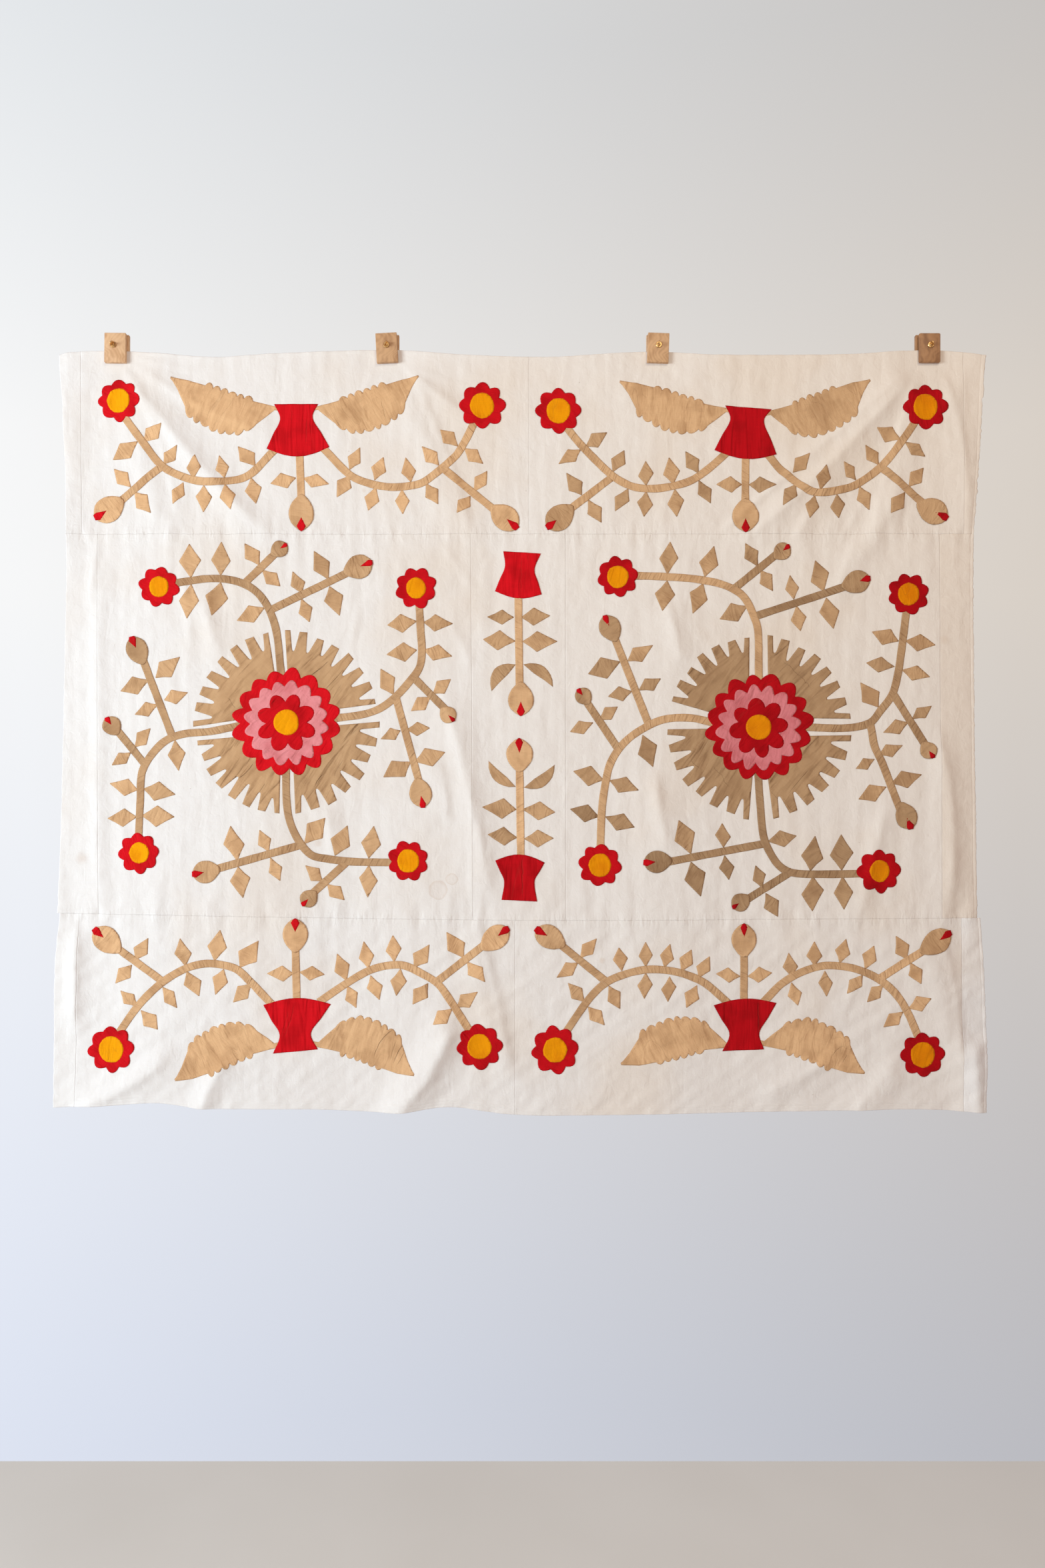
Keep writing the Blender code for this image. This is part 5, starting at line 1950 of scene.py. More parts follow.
            ((494, -1570), (482, -1559), (434, -1519), (386, -1498), (345, -1489), (297, -1487), (247, -1498),
             (199, -1519), (158, -1559), (98, -1645)),
            ((202, -1518), (82, -1421)),
            ((530, -1570), (530, -1556), (530, -1442)),
            ((574, -1568), (586, -1556), (620, -1522), (668, -1494), (718, -1479), (754, -1479), (799, -1487),
             (847, -1508), (889, -1543), (918, -1588), (945, -1650)),
            ((850, -1511), (966, -1435)),
        ),
        leaves=table_of(
            Leaf,
            (139, -1459, 50, 57), (131, -1472, -145, 58), (237, -1489, 97, 52), (294, -1479, 90, 55),
            (339, -1481, 76, 54), (380, -1491, 65, 54), (421, -1506, 62, 54), (294, -1497, -93, 58),
            (351, -1506, -94, 56), (416, -1527, -116, 55), (207, -1528, -64, 57), (147, -1564, 131, 56),
            (158, -1578, -48, 55), (519, -1504, 174, 54), (541, -1504, 8, 55), (644, -1504, 97, 54),
            (644, -1521, -74, 53), (698, -1478, 90, 55), (723, -1493, -86, 57), (759, -1471, 75, 56),
            (819, -1485, 69, 56), (812, -1502, -130, 54), (860, -1525, -132, 52), (922, -1579, 24, 55),
            (907, -1589, -141, 55), (917, -1461, 115, 57), (926, -1472, -63, 53),
        ),
        buds=table_of(
            Bud,
            (65, -1410, 28, 36, 150), (530, -1418, 30, 35, 90, True), (986, -1421, 28, 39, 33),
        ),
        flowers=table_of(Flower, (78, -1679, 58, 29, 8), (954, -1690, 54, 29, 4)),
        stem_fade=0.30, leaf_fade=0.26,
    ),
)


@dataclass(frozen=True)
class Pot:
    """A pot: the ends of its rim, waist and foot, left and right, the rim's bow in mm, and its fading."""

    name: str
    panel: str
    rim: tuple[Spot, Spot]
    waist: tuple[Spot, Spot]
    foot: tuple[Spot, Spot]
    bow: float
    fade: float

    def side(self, number: int) -> Outline:
        """One side from the rim to the foot, straight but for its rounded waist.

        Args:
            number: 0 for the left side, 1 for the right one.

        Returns:
            Its places, in mm.
        """
        rim, waist, foot = self.rim[number], self.waist[number], self.foot[number]
        straight = (0.55 * rim[0] + 0.45 * waist[0], 0.55 * rim[1] + 0.45 * waist[1])
        return [tuple(place) for place in smooth_path((rim, straight, waist, foot), 6)]

    def outline(self) -> Outline:
        """A bowed rim, waisted sides and a nearly straight foot.

        Returns:
            The outline, in mm.
        """
        left, right = (np.array(spot, float) for spot in self.rim)
        away = 1 if left[1] > self.foot[0][1] else -1
        rim = []
        for share in np.linspace(0.9, -0.9, 9):
            place = (left + right) / 2 + share * (right - left) / 2
            rim.append((place[0], place[1] + away * self.bow * math.cos(math.pi / 2 * share)))
        return rim + self.side(0) + self.side(1)[::-1]


POTS = (
    Pot("pot_top_left", "top_left", ((-613, -241), (-463, -236)), ((-581, -169), (-503, -165)),
        ((-595, -134), (-490, -133)), 21, 0.1),
    Pot("pot_top_right", "top_right", ((460, -244), (609, -254)), ((498, -169), (579, -173)),
        ((486, -137), (597, -146)), 16, 0.6),
    Pot("pot_middle_upper", "middle_center", ((-66, -582), (46, -590)), ((-42, -523), (29, -531)),
        ((-46, -487), (44, -492)), 14, 0.1),
    Pot("pot_middle_lower", "middle_center", ((-65, -1227), (53, -1232)), ((-44, -1276), (29, -1276)),
        ((-50, -1321), (35, -1325)), 17, 0.5),
    Pot("pot_bottom_left", "bottom_left", ((-619, -1572), (-459, -1571)), ((-580, -1645), (-506, -1641)),
        ((-596, -1688), (-490, -1679)), 16, 0.1),
    Pot("pot_bottom_right", "bottom_right", ((457, -1573), (608, -1568)), ((495, -1642), (567, -1641)),
        ((478, -1683), (578, -1679)), 13, 0.6),
)


class FeatherEdge(NamedTuple):
    """A long edge of a feather: its side, its form, where its scallops begin and end, and how many."""

    side: int
    form: SmoothLine
    first: float
    last: float
    count: int


BELLY = FeatherEdge(1, SmoothLine((
    (-0.06, 0.04), (0, 0.06), (0.1, 0.48), (0.2, 0.74), (0.32, 0.90), (0.45, 0.93), (0.6, 0.87),
    (0.76, 0.72), (0.87, 0.36), (0.94, 0.16), (1, 0.02),
)), 0.12, 0.80, 8)
BACK = FeatherEdge(-1, SmoothLine((
    (-0.06, 0.5), (0, 0.6), (0.2, 0.2), (0.45, 0.4), (0.7, 0.9), (0.9, 0.8), (1, 0.1),
)), 0.22, 0.68, 6)


@dataclass(frozen=True)
class Feather(Cutout):
    """A feather: its root by the pot, its tip, how far its long edges stand off in mm, and its fading."""

    name: str
    panel: str
    root_x: float
    root_z: float
    tip_x: float
    tip_z: float
    belly: float
    back: float
    fade: float

    def outline(self, rng: np.random.Generator) -> Outline:
        """A full scalloped edge towards the band's seam and a flatter one, with a plain root and tip.

        Args:
            rng: Where its unevenness comes from.

        Returns:
            The outline's corners, in mm.
        """
        root, tip = np.array((self.root_x, self.root_z)), np.array((self.tip_x, self.tip_z))
        run = tip - root
        aside = np.array((-run[1], run[0])) / np.hypot(*run)
        towards_seam = -1 if self.root_z > SEAM_1[0][1] else 1
        if aside[1] * towards_seam < 0:
            aside = -aside
        edges = []
        for stand, (sign, form, first, last, count) in ((self.belly, BELLY), (self.back, BACK)):
            uneven = np.arange(count + 1) + rng.uniform(-0.12, 0.12, count + 1)
            notches = first + (last - first) * uneven / count
            heights = rng.uniform(7.0, 11.0, count)
            places = [(-0.06, 0.0), (0.0, 0.0), (first / 2, 0.0)]
            for k in range(count):
                for part in (0.0, 0.12, 0.32, 0.55, 0.8):
                    share = notches[k] + (notches[k + 1] - notches[k]) * part
                    places.append((share, heights[k] * math.sin(math.pi * part) ** 0.7))
            places += [(notches[-1], 0.0), ((notches[-1] + 1) / 2, 0.0), (0.97, 0.0)]
            shares, rises = np.array(places).T
            stands = sign * (stand * form.at(shares) + rises)
            edges.append([root + run * share + aside * off for share, off in zip(shares, stands)])
        loop = edges[0] + [tip + 3 * aside, tip - 2 * aside] + edges[1][::-1]
        return [(float(p[0]), float(p[1])) for p in loop]


FEATHERS = (
    Feather("feather_top_left_outer", "top_left", -593, -143, -842, -71, 94, 6, 0.03),
    Feather("feather_top_left_inner", "top_left", -492, -142, -249, -68, 90, 6, 0.12),
    Feather("feather_top_right_inner", "top_right", 489, -148, 233, -79, 84, 8, 0.22),
    Feather("feather_top_right_outer", "top_right", 593, -154, 833, -76, 90, 8, 0.38),
    Feather("feather_bottom_left_outer", "bottom_left", -591, -1668, -829, -1751, 90, 12, 0.04),
    Feather("feather_bottom_left_inner", "bottom_left", -490, -1667, -258, -1737, 96, 12, 0.10),
    Feather("feather_bottom_right_inner", "bottom_right", 489, -1668, 235, -1713, 86, 12, 0.10),
    Feather("feather_bottom_right_outer", "bottom_right", 577, -1664, 817, -1735, 88, 12, 0.12),
)


CHANNEL_START = 110
CHANNEL_LENGTH = 110


class Channel(NamedTuple):
    """A gap in a fringe for a stem: its heading in degrees, and half its width at its ends in mm."""

    heading: float
    half_in: float
    half_out: float

    def side(self, radius: float, turn: int) -> float:
        """Where one side of the channel is.

        Args:
            radius: How far from the middle, in mm.
            turn: 1 for its left side, -1 for its right side, seen from the middle.

        Returns:
            The angle in radians.
        """
        share = (radius - CHANNEL_START) / CHANNEL_LENGTH
        half = self.half_in + (self.half_out - self.half_in) * share
        return math.radians(self.heading) + turn * math.asin(half / radius)


@dataclass(frozen=True)
class Rosette:
    """A rosette: its middle, the turn of its rings in degrees, the teeth of its quarters, its channels."""

    name: str
    panel: str
    x: float
    z: float
    turn: float
    inner_turn: float
    teeth: tuple[int, int, int, int]
    channels: tuple[Channel, Channel, Channel, Channel]
    fringe_fade: float
    inner: float = 96
    valley: float = 178
    tip: float = 219
    blunt: float = 0.46

    def quarter(self, number: int, rng: np.random.Generator) -> Outline:
        """One quarter of the toothed fringe.

        Args:
            number: Which quarter, from 0 at the upper right, turning left.
            rng: Where its unevenness comes from.

        Returns:
            The outline, in mm.
        """
        teeth = self.teeth[number]
        right, left = self.channels[number], self.channels[(number + 1) % 4]
        full = 2 * math.pi if number == 3 else 0

        def at_side(radius: float, last: bool) -> tuple[float, float]:
            """A radius on the quarter's first or last side, and its angle."""
            angle = left.side(radius, -1) + full if last else right.side(radius, 1)
            return radius, angle

        begin, end = at_side(self.tip, False)[1], at_side(self.tip, True)[1]
        pitch = (end - begin) / (teeth - 0.86)
        ring = [at_side(self.inner, False), at_side((self.inner + self.valley) / 2, False)]
        for tooth in range(teeth):
            middle = begin + pitch * (tooth + 0.07) + rng.uniform(-0.04, 0.04) * pitch
            half = pitch * self.blunt / 2 * rng.uniform(0.88, 1.12)
            tip = self.tip * rng.uniform(0.985, 1.018)
            valley = self.valley * rng.uniform(0.965, 1.035)
            first = (tip, middle - half) if tooth else at_side(tip, False)
            last = (tip * rng.uniform(0.99, 1.01), middle + half if tooth else begin + 0.3 * pitch)
            if tooth == teeth - 1:
                first, last = (tip, end - 0.3 * pitch), at_side(tip, True)
            ring += [first, last]
            if tooth < teeth - 1:
                gap = begin + pitch * (tooth + 0.57)
                ring += [(valley + 7, gap - 0.115 * pitch), (valley + 1.5, gap - 0.07 * pitch), (valley, gap)]
                ring += [(valley + 1.5, gap + 0.07 * pitch), (valley + 7, gap + 0.115 * pitch)]
        ring += [at_side((self.inner + self.valley) / 2, True), at_side(self.inner, True)]
        low, high = at_side(self.inner, False)[1], at_side(self.inner, True)[1]
        ring += [(self.inner, high - (high - low) * k / 4) for k in range(1, 4)]
        return [(self.x + r * math.cos(a), self.z + r * math.sin(a)) for r, a in ring]


ROSETTES = (
    Rosette(
        "rosette_left", "middle_left", -565, -897, 3, 25, (8, 8, 8, 8),
        table_of(Channel, (6.2, 19, 21.5), (96.2, 14.5, 20), (187, 20, 17), (270.7, 15.5, 19)), 0.46,
    ),
    Rosette(
        "rosette_right", "middle_right", 566, -908, -4, 7, (8, 7, 8, 7),
        table_of(Channel, (0.1, 21, 19.5), (90.1, 22.5, 21.5), (172.5, 18, 34), (271.4, 17, 29)), 0.70,
    ),
)
RINGS = (
    ("outer", Scalloped(16, 112, 130, 1.0), "red_cotton", 1),
    ("pink", Scalloped(16, 86, 103, 1.15), "pink_cotton", 2),
    ("inner", Scalloped(8, 50, 72, 0.85), "red_cotton", 3),
    ("middle", Scalloped(3, 30, 31, 1.0), "yellow_cotton", 4),
)


FRINGE_LINES = table_of(
    Fold,
    # Left rosette
    (-462, -746, -513, -788, -3, 1.8, 1.0), (-424, -763, -481, -826, -2, 1.6, 0.7),
    (-433, -803, -458, -846, 0, 1.5, 0.5), (-642, -992, -682, -1034, -4, 2.0, 1.0),
    (-614, -1040, -637, -1072, -2, 1.7, 0.8), (-640, -1083, -663, -1107, 2, 1.5, 0.6),
    (-650, -755, -683, -788, 0, 1.3, 0.4), (-707, -838, -684, -864, 0, 1.3, 0.6),
    (-428, -985, -452, -1030, 3, 1.7, 0.6), (-478, -1022, -497, -1050, 2, 1.6, 0.8),
    # Right rosette
    (588, -1056, 668, -1120, 3, 1.5, 0.4), (688, -1007, 630, -1075, 0, 1.8, 0.6),
    (622, -745, 700, -818, 0, 1.3, 0.6), (640, -752, 612, -780, 0, 1.5, 0.5),
    (430, -742, 462, -776, 0, 1.3, 0.4), (404, -985, 424, -1008, 0, 1.3, 0.6),
    (456, -1002, 500, -1054, 0, 1.3, 0.5),
)
POT_LINES = table_of(
    Fold,
    (566, -1562, 565, -1646, 1, 2.0, 0.9), (-547, -1570, -570, -1652, -3, 2.2, 0.5),
    (-559, -1583, -579, -1655, -2, 2.0, 0.4), (-517, -167, -519, -230, 0, 1.8, 0.6),
    (-554, -142, -552, -178, 0, 1.6, 0.4), (0, -1214, -1, -1323, 0, 2.6, 0.8),
    (-3, -488, -4, -598, 0, 2.4, 0.4),
)
FEATHER_LINES = table_of(
    Fold,
    (-303, -1628, -355, -1700, 10, 2.2, 1.0), (-281, -1664, -307, -1712, 4, 2.0, 1.0),
    (-299, -1656, -316, -1707, 2, 1.8, 0.6), (-279, -1681, -298, -1715, 0, 1.6, 0.7),
    (770, -1668, 736, -1700, 4, 1.8, 0.5), (778, -1690, 764, -1712, 0, 1.5, 0.7),
    (-338, -120, -322, -176, 3, 1.8, 0.5),
)


COTTON_SLOTS = {
    "stem_cotton": "tan_cotton", "feather_cotton": "tan_cotton", "fringe_cotton": "tan_cotton",
    "pot_cotton": "red_cotton",
}


@dataclass
class Applique:
    """Everything that is sewn on the ground."""

    cutter: Cutter
    room: Workroom
    sewn: dict[str, list[bpy.types.Object]] = field(default_factory=dict)
    finishes: dict[str, bpy.types.Material] = field(default_factory=dict)
    # The headings of threads, and how far they stray from a patch's own, in degrees
    feather_stray: float = 14
    fringe_heading: float = -38
    fringe_stray: float = 8
    ring_headings: tuple[float, float] = (-50, -20)
    leaf_stray: float = 40
    moon_heading: float = 40
    eye_stray: float = 20
    # How far fading strays from patch to patch, of 1
    fringe_fade_stray: float = 0.06
    vine_fade_stray: float = 0.14
    # How much less the bud tips are darkened, by fading and painted shade, than other red pieces at the same
    # place across, of 1
    tip_less_darkened: float = 0.1

    def prepare(self) -> None:
        """Makes the finishes."""
        for finish in (
            PatchCotton("tan_cotton", Dye.TAN, (64, 20), 0.15),
            PatchCotton("stem_cotton", Dye.TAN, (90, 20), 0.24),
            PatchCotton("red_cotton", Dye.RED, (60, 20), 0.15, 0.08, 0.4, 0.55),
            PatchCotton("pot_cotton", Dye.RED, (44, 6), 0.20, 0.06, 0.4, 0.55, POT_LINES),
            PatchCotton("feather_cotton", Dye.TAN, (34, 13), 0.12, lines=FEATHER_LINES),
            PatchCotton("fringe_cotton", Dye.TAN, (28, 7), 0.22, 0.10, 0.25, lines=FRINGE_LINES),
            PatchCotton("pink_cotton", Dye.PINK, (58, 22), 0.15, 0.08, 0.4),
            PatchCotton("yellow_cotton", Dye.YELLOW, (60, 20), 0.08, 0.05, 0.3),
        ):
            self.finishes[finish.name] = finish.material()

    def sew(self, name: str, shapes: list[Shape], finish: str, panel: str,
            nodes: tuple[str, ...] = ()) -> None:
        """Lays shapes on a panel as one piece.

        Args:
            name: The piece's name.
            shapes: Its flat shapes.
            finish: The name of its finish.
            panel: The panel that it is sewn on.
            nodes: The CAD nodes that it replaces.
        """
        slot = COTTON_SLOTS.get(finish, finish)
        mesh = self.cutter.lay(shapes)
        piece = self.room.piece(name, mesh, self.finishes[finish], slot, nodes, PATCH, -1.0)
        self.sewn.setdefault(panel, []).append(piece)

    def build(self) -> None:
        """Makes the pots, feathers, rosettes and vines."""
        self.prepare()
        rng, cut = self.cutter.rng, self.cutter.cut
        for pot in POTS:
            shape = cut(pot.outline(), 0, pot.fade, POT_LEVEL)
            self.sew(pot.name + "_patch", [shape], "pot_cotton", pot.panel, (pot.name,))
        for feather in FEATHERS:
            heading = math.degrees(math.atan2(feather.tip_z - feather.root_z, feather.tip_x - feather.root_x))
            shape = cut(feather.outline(rng), heading + self.stray(self.feather_stray), feather.fade)
            self.sew(feather.name + "_patch", [shape], "feather_cotton", feather.panel, (feather.name,))
        for rosette in ROSETTES:
            self.add_rosette(rosette)
        for vine in VINES:
            self.add_vine(vine)

    def stray(self, most: float) -> float:
        """A random number between minus the most and the most."""
        return self.cutter.rng.uniform(-most, most)

    def aged_and_shaded(self, x: float) -> float:
        """How far a red, pink or yellow cotton is darkened at a place across, from 0 to 1: more to the right
        as painted shade where the light falls off, with fading that differs at random.
        """
        share = 0.05 + 0.65 * float(eased(np.array(x), -900, 1000))
        return float(np.clip(share + self.stray(0.1), 0, 1))

    def add_rosette(self, rosette: Rosette) -> None:
        """Makes a rosette: four quarters of fringe and the rounds that lie on them.

        Args:
            rosette: The rosette.
        """
        rng, cut = self.cutter.rng, self.cutter.cut
        for quarter in range(4):
            fade = rosette.fringe_fade + self.stray(self.fringe_fade_stray)
            outline = rosette.quarter(quarter, rng)
            shape = cut(outline, self.fringe_heading + self.stray(self.fringe_stray), fade)
            name = f"{rosette.name}_fringe_{quarter + 1}"
            self.sew(name + "_patch", [shape], "fringe_cotton", rosette.panel, (name,))
        for ring, form, finish, level in RINGS:
            turn = rosette.inner_turn if ring == "inner" else rosette.turn + 180 / form.lobes
            outline = scallops(form, rosette.x, rosette.z, turn, rng)
            shape = cut(outline, rng.uniform(*self.ring_headings), self.aged_and_shaded(rosette.x), level)
            name = f"{rosette.name}_{ring}"
            self.sew(name + "_patch", [shape], finish, rosette.panel, (name,))

    def add_vine(self, vine: Vine) -> None:
        """Makes the stems, leaves, buds and flowers of a vine.

        Args:
            vine: The vine.
        """
        rng, cut = self.cutter.rng, self.cutter.cut

        def faded(middle: float, z: float) -> float:
            """How far a piece is darkened towards its faded tone at a height, from 0 to 1, and more below the
            vine's low_z where it has any.
            """
            low = vine.low_darkening if z < vine.low_z else 0
            return float(np.clip(middle + low + self.stray(self.vine_fade_stray), 0, 1))

        tones = vine.stem_tones or (vine.stem_fade,) * len(vine.stems)
        levels = [STEM_LEVEL] + [SIDE_STEM_LEVEL] * (len(vine.stems) - 1)
        stems = [self.cutter.ribbon(path, vine.stem_width, faded(tone, path[-1][1]), level)
                 for path, tone, level in zip(vine.stems, tones, levels)]
        self.sew(vine.name + "_stems", stems, "stem_cotton", vine.panel)
        leaves = [cut(leaf.outline(rng), leaf.heading + self.stray(self.leaf_stray),
                      faded(vine.leaf_fade, leaf.z)) for leaf in vine.leaves]
        leaves += [cut(moon.outline(rng), self.moon_heading, faded(vine.leaf_fade, 0))
                   for moon in vine.moons]
        self.sew(vine.name + "_leaves", leaves, "tan_cotton", vine.panel)
        buds = [cut(bud.outline(rng), bud.heading, faded(vine.stem_fade, bud.z), BUD_LEVEL)
                for bud in vine.buds]
        self.sew(vine.name + "_buds", buds, "tan_cotton", vine.panel)
        tips = [cut(bud.tip(rng), bud.heading, self.aged_and_shaded(bud.x) - self.tip_less_darkened, BUD_TIP_LEVEL)
                for bud in vine.buds]
        self.sew(vine.name + "_bud_tips", tips, "red_cotton", vine.panel)
        if vine.flowers:
            petals = [cut(flower.outline(rng), rng.uniform(0, 90), self.aged_and_shaded(flower.x), FLOWER_LEVEL)
                      for flower in vine.flowers]
            self.sew(vine.name + "_flowers", petals, "red_cotton", vine.panel)
            eyes = [cut(flower.eye(rng), self.stray(self.eye_stray), self.aged_and_shaded(flower.x),
                        FLOWER_MIDDLE_LEVEL) for flower in vine.flowers]
            self.sew(vine.name + "_flower_middles", eyes, "yellow_cotton", vine.panel)


def round_edges(bm: bmesh.types.BMesh, edges: list[bmesh.types.BMEdge], offset: float, steps: int) -> None:
    """Rounds some edges of a form."""
    bmesh.ops.bevel(bm, geom=edges, offset=offset, segments=steps, affect="EDGES", profile=0.5, material=-1)


def cuboid(size: tuple[float, float, float]) -> bmesh.types.BMesh:
    """A box about the origin.

    Args:
        size: Its width, depth and height.

    Returns:
        The box, as a form to work on.
    """
    bm = bmesh.new()
    bmesh.ops.create_cube(bm, size=1)
    bmesh.ops.scale(bm, vec=size, verts=bm.verts[:])
    return bm


@dataclass(frozen=True)
class Hanger:
    """A clamp hanger: two blocks and a thumbscrew. Turns are in degrees, offsets and sizes in mm."""

    number: int
    middle: float
    block_turn: float
    grip_turn: float
    screw_offset: float
    back_offset: float
    pale: Tone
    dark: Tone
    eased_edge: float = BLOCK_EDGE
    screw_z: float = 6
    shoulder: float = 7.5
    shoulder_depth: float = 2.5
    neck: float = 3.5
    neck_depth: float = 3
    paddle_width: float = 10
    paddle_length: float = 11
    paddle_depth: float = 2

    def block(self, front: bool) -> bpy.types.Mesh:
        """One block with rounded edges, in place.

        Args:
            front: Whether it is the one in front of the cloth.

        Returns:
            The mesh, in metres.
        """
        bm = cuboid((BLOCK_WIDTH, BLOCK_DEPTH, BLOCK_HEIGHT))
        offset = self.eased_edge if front else BLOCK_EDGE
        round_edges(bm, bm.edges[:], offset, 3)
        turn = Matrix.Rotation(math.radians(self.block_turn if front else 0), 4, "Y")
        depth = -(JAW_FRONT if front else 0) - BLOCK_DEPTH / 2
        middle = self.middle + (0 if front else self.back_offset)
        bm.transform(Matrix.Scale(MM, 4) @ Matrix.Translation((middle, depth, 0)) @ turn)
        return mesh_from(bm, "block")

    def thumbscrew(self) -> bpy.types.Mesh:
        """The turned shoulder and neck with the flat grip, in place.

        Returns:
            The mesh, in metres.
        """
        bm = bmesh.new()
        reach = JAW_FRONT + BLOCK_DEPTH - 4
        rim, depth, neck = self.shoulder, self.shoulder_depth, self.neck
        end = depth + self.neck_depth
        profile = (
            (0.0, -reach), (2.5, -reach), (2.5, 0), (rim - 0.5, 0), (rim, 0.5), (rim, depth - 0.9),
            (rim - 1.0, depth), (neck + 0.8, depth + 0.2), (neck, depth + 1.0), (neck - 0.4, end - 0.4),
            (neck - 1.2, end), (0.0, end),
        )
        line = [bm.verts.new((radius, 0, z)) for radius, z in profile]
        edges = [bm.edges.new(pair) for pair in zip(line, line[1:])]
        bmesh.ops.spin(
            bm, geom=line + edges, cent=(0, 0, 0), axis=(0, 0, 1), angle=2 * math.pi, steps=32,
            use_merge=True,
        )
        bmesh.ops.remove_doubles(bm, verts=bm.verts[:], dist=0.001)
        bmesh.ops.recalc_face_normals(bm, faces=bm.faces[:])
        grip = cuboid((self.paddle_width, self.paddle_depth, self.paddle_length))
        outer = [edge for edge in grip.edges if all(vertex.co.z > 0 for vertex in edge.verts)]
        ends = [edge for edge in outer if abs(edge.verts[0].co.x - edge.verts[1].co.x) < 1]
        round_edges(grip, ends, 3.4, 5)
        rims = [edge for edge in grip.edges if edge.calc_face_angle(0) > 0.9]
        round_edges(grip, rims, 0.35, 2)
        lift = Matrix.Translation((0, 0, depth + self.neck_depth / 2 + self.paddle_length / 2))
        grip.transform(Matrix.Rotation(math.radians(self.grip_turn), 4, "Z") @ lift)
        part = mesh_from(grip, "grip")
        bm.from_mesh(part)
        bpy.data.meshes.remove(part)
        front = -(JAW_FRONT + BLOCK_DEPTH + GAP)
        place = Matrix.Translation((self.middle + self.screw_offset, front, self.screw_z))
        bm.transform(Matrix.Scale(MM, 4) @ place @ Matrix.Rotation(math.pi / 2, 4, "X"))
        return mesh_from(bm, "thumbscrew")

    def build(self, room: Workroom, brass: bpy.types.Material) -> None:
        """Makes the hanger's three pieces.

        Args:
            room: Where the pieces go.
            brass: The thumbscrew's finish.
        """
        name = f"hanger_{self.number}"
        wood = BlockWood(name + "_wood", self.pale, self.dark, 0.37 * self.number).material()
        for side, mesh in (("back", self.block(False)), ("front", self.block(True))):
            node = f"{name}_{side}_block"
            mesh.set_sharp_from_angle(angle=math.radians(40))
            room.piece(node + "_wood", mesh, wood, "hanger_wood", (node,))
        screw = self.thumbscrew()
        room.piece(name + "_screw", screw, brass, "hanger_brass", (name + "_thumbscrew",))
        screw.set_sharp_from_angle(angle=math.radians(35))


HANGERS = (
    Hanger(1, HANGER_X[0], 0.5, 45, -4, 4, (232, 192, 150), (202, 156, 114)),
    Hanger(2, HANGER_X[1], -3, 60, -0.5, 3, (210, 168, 126), (176, 132, 94)),
    Hanger(3, HANGER_X[2], 2, 85, 1, -1.5, (212, 170, 128), (176, 132, 92)),
    Hanger(4, HANGER_X[3], 0, -45, 1.5, -5, (170, 124, 84), (132, 90, 58), 3.4),
)


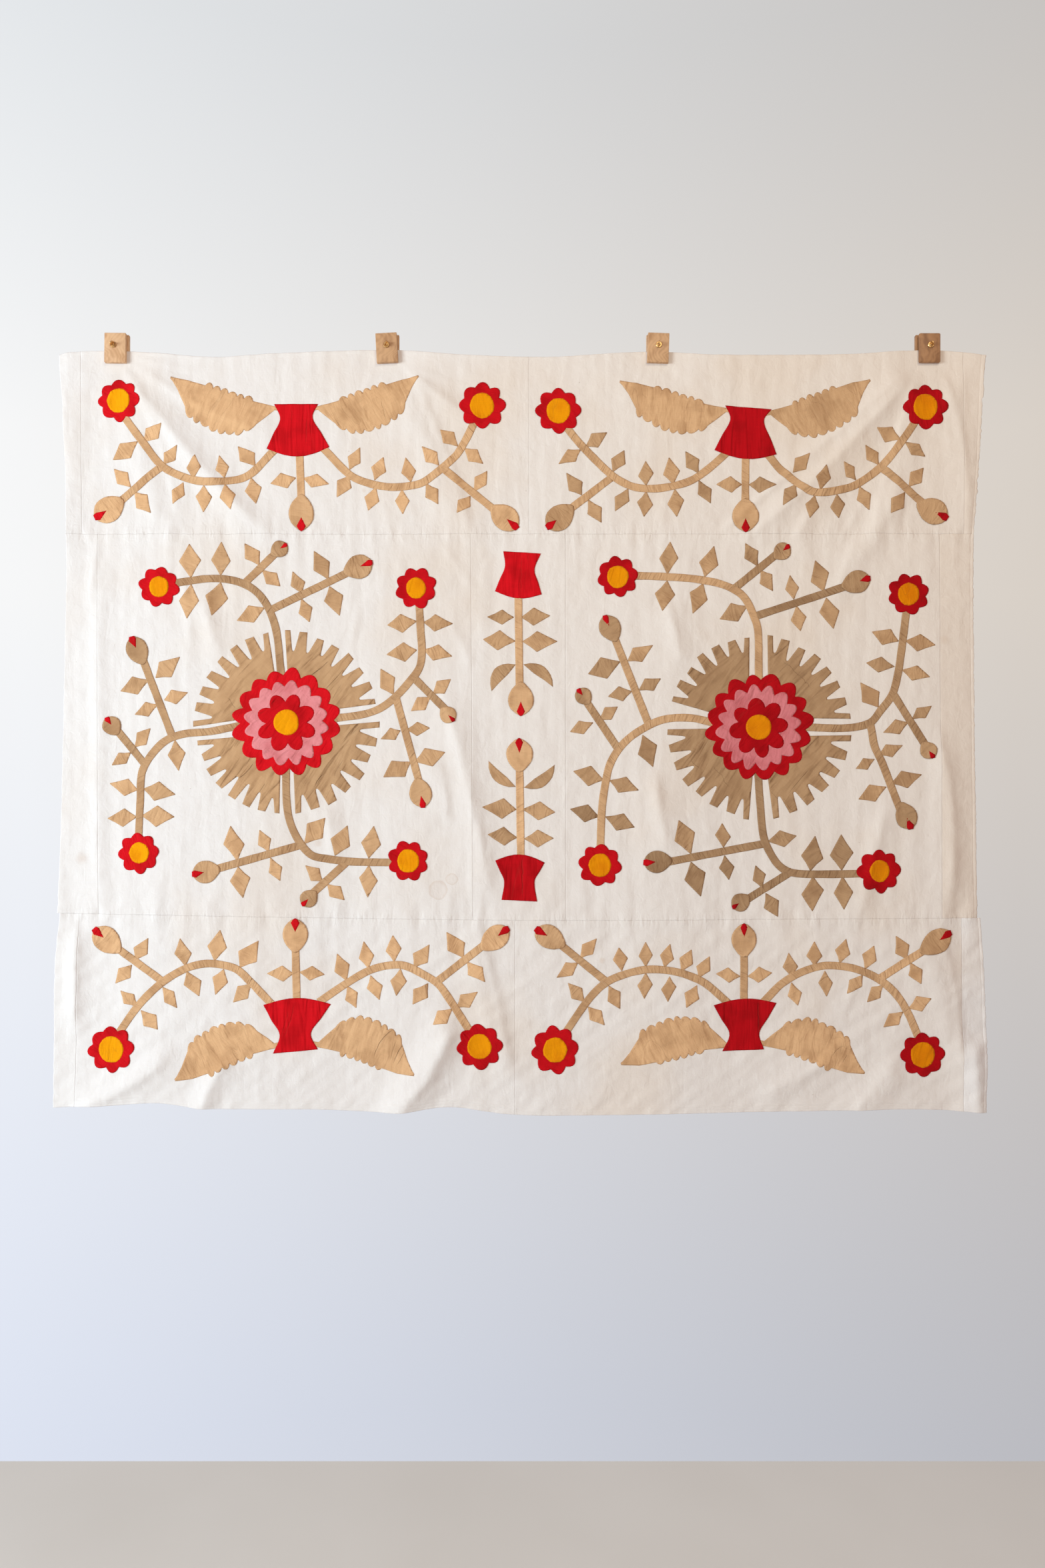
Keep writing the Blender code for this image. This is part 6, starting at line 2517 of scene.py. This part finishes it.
@dataclass(frozen=True)
class Studio:
    """The floor, the lights and the camera, in metres, and the camera's lens in mm."""

    floor_middle: tuple[float, float, float] = (0, -2.95, -2.706)
    floor_half: tuple[float, float, float] = (5, 3, 1)
    eye: tuple[float, float, float] = (0, -2.52, -1.151)
    sensor: float = 36
    lens: float = 24
    shift: float = 0.0285
    side: float = 0.43  # how far aside the light changes from its left to its right tone

    def floor(self) -> None:
        """A plain pale floor below and in front of the quilt top."""
        bm = bmesh.new()
        bmesh.ops.create_grid(bm, x_segments=4, y_segments=4, size=1)
        bmesh.ops.scale(bm, vec=self.floor_half, verts=bm.verts[:])
        bmesh.ops.translate(bm, vec=self.floor_middle, verts=bm.verts[:])
        mesh = mesh_from(bm, "floor")
        mesh.materials.append(StudioFloor().material())
        floor = in_scene("floor", mesh)
        floor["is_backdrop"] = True

    def lamp(self, name: str, place: tuple, target: tuple, size: tuple, watts: float, tint: tuple) -> None:
        """A soft lamp.

        Args:
            name: Its name.
            place: Where it stands.
            target: What it faces.
            size: Its width and height.
            watts: Its power.
            tint: Its colour.
        """
        light = bpy.data.lights.new(name, "AREA")
        light.shape = "RECTANGLE"
        light.size, light.size_y = size
        light.energy = watts
        light.color = tint
        lamp = in_scene(name, light)
        lamp.location = place
        lamp.rotation_euler = (Vector(target) - Vector(place)).to_track_quat("-Z", "Y").to_euler()

    def lights(self) -> None:
        """A window's light from the left, a warm one from above, and a pale light all around."""
        self.lamp("window", (-4.8, -3.4, -0.7), (0, 0, -0.9), (2.4, 2.4), 252, (0.84, 0.96, 1.0))
        self.lamp("ceiling", (1.2, -3.0, 1.3), (0.4, 0, -0.4), (1.8, 1.8), 44, (1.0, 0.94, 0.72))
        world = bpy.data.worlds.new("room")
        bpy.context.scene.world = world
        world.use_nodes = True
        nodes, links = world.node_tree.nodes, world.node_tree.links
        heading = nodes.new("ShaderNodeSeparateXYZ")
        links.new(nodes.new("ShaderNodeTexCoord").outputs["Generated"], heading.inputs[0])
        shade = nodes["Background"].inputs["Color"]

        def blend(socket: str, low: float, high: float, first: object, second: object) -> object:
            """Two tones, blended over a range of the heading.

            Args:
                socket: The axis that the range is on.
                low: Where the first tone ends.
                high: Where the second tone begins.
                first: The first tone or output.
                second: The second tone or output.

            Returns:
                The blend's output.
            """
            share = nodes.new("ShaderNodeMapRange")
            share.inputs["From Min"].default_value, share.inputs["From Max"].default_value = low, high
            links.new(heading.outputs[socket], share.inputs["Value"])
            mix = nodes.new("ShaderNodeMix")
            mix.data_type = "RGBA"
            links.new(share.outputs[0], mix.inputs[0])
            for number, colour in ((6, first), (7, second)):
                if isinstance(colour, tuple):
                    mix.inputs[number].default_value = (*colour, 1)
                else:
                    links.new(colour, mix.inputs[number])
            return mix.outputs[2]

        level = blend("X", -self.side, self.side, (0.93, 0.935, 0.94), (0.69, 0.63, 0.57))
        foot = blend("X", -self.side, self.side, (0.73, 0.78, 0.90), (0.485, 0.485, 0.515))
        head = blend("X", -self.side, self.side, (0.79, 0.82, 0.85), (0.545, 0.52, 0.50))
        behind = blend("Z", 0.33, 0.60, blend("Z", -0.48, 0.2, foot, level), head)
        links.new(blend("Y", -0.15, 0.35, (0.28, 0.185, 0.19), behind), shade)

    def camera(self) -> None:
        """A level camera, square to the quilt top, with the photograph's view."""
        camera = bpy.data.cameras.new("camera")
        camera.sensor_fit = "VERTICAL"
        camera.sensor_height = self.sensor
        camera.lens = self.lens
        camera.shift_y = self.shift
        placed = in_scene("camera", camera)
        placed.location = self.eye
        placed.rotation_euler = (math.pi / 2, 0, 0)
        bpy.context.scene.camera = placed

    def build(self) -> None:
        """Sets up the whole studio."""
        self.floor()
        self.lights()
        self.camera()
        bpy.context.scene.view_settings.view_transform = "Standard"


def corners(box: tuple[Vector, Vector]) -> list[list[float]]:
    """A box's two corners as plain lists."""
    return [[round(float(value), 6) for value in corner] for corner in box]


def main() -> None:
    """Builds the object's looks and the studio."""
    logging.basicConfig(level=logging.INFO, format="%(message)s")
    Studio().build()
    room = Workroom()
    cloth = Cloth()
    ground = Ground(cloth)
    panels = ground.build(room)
    applique = Applique(Cutter(cloth), room)
    applique.build()
    brass = Brass().material()
    for hanger in HANGERS:
        hanger.build(room, brass)
    ground.declare(applique.sewn)
    log.info("%d pieces", room.made)
    {"cad": corners(CAD_BOX), "visual": corners(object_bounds())}


if __name__ == "__main__":
    main()
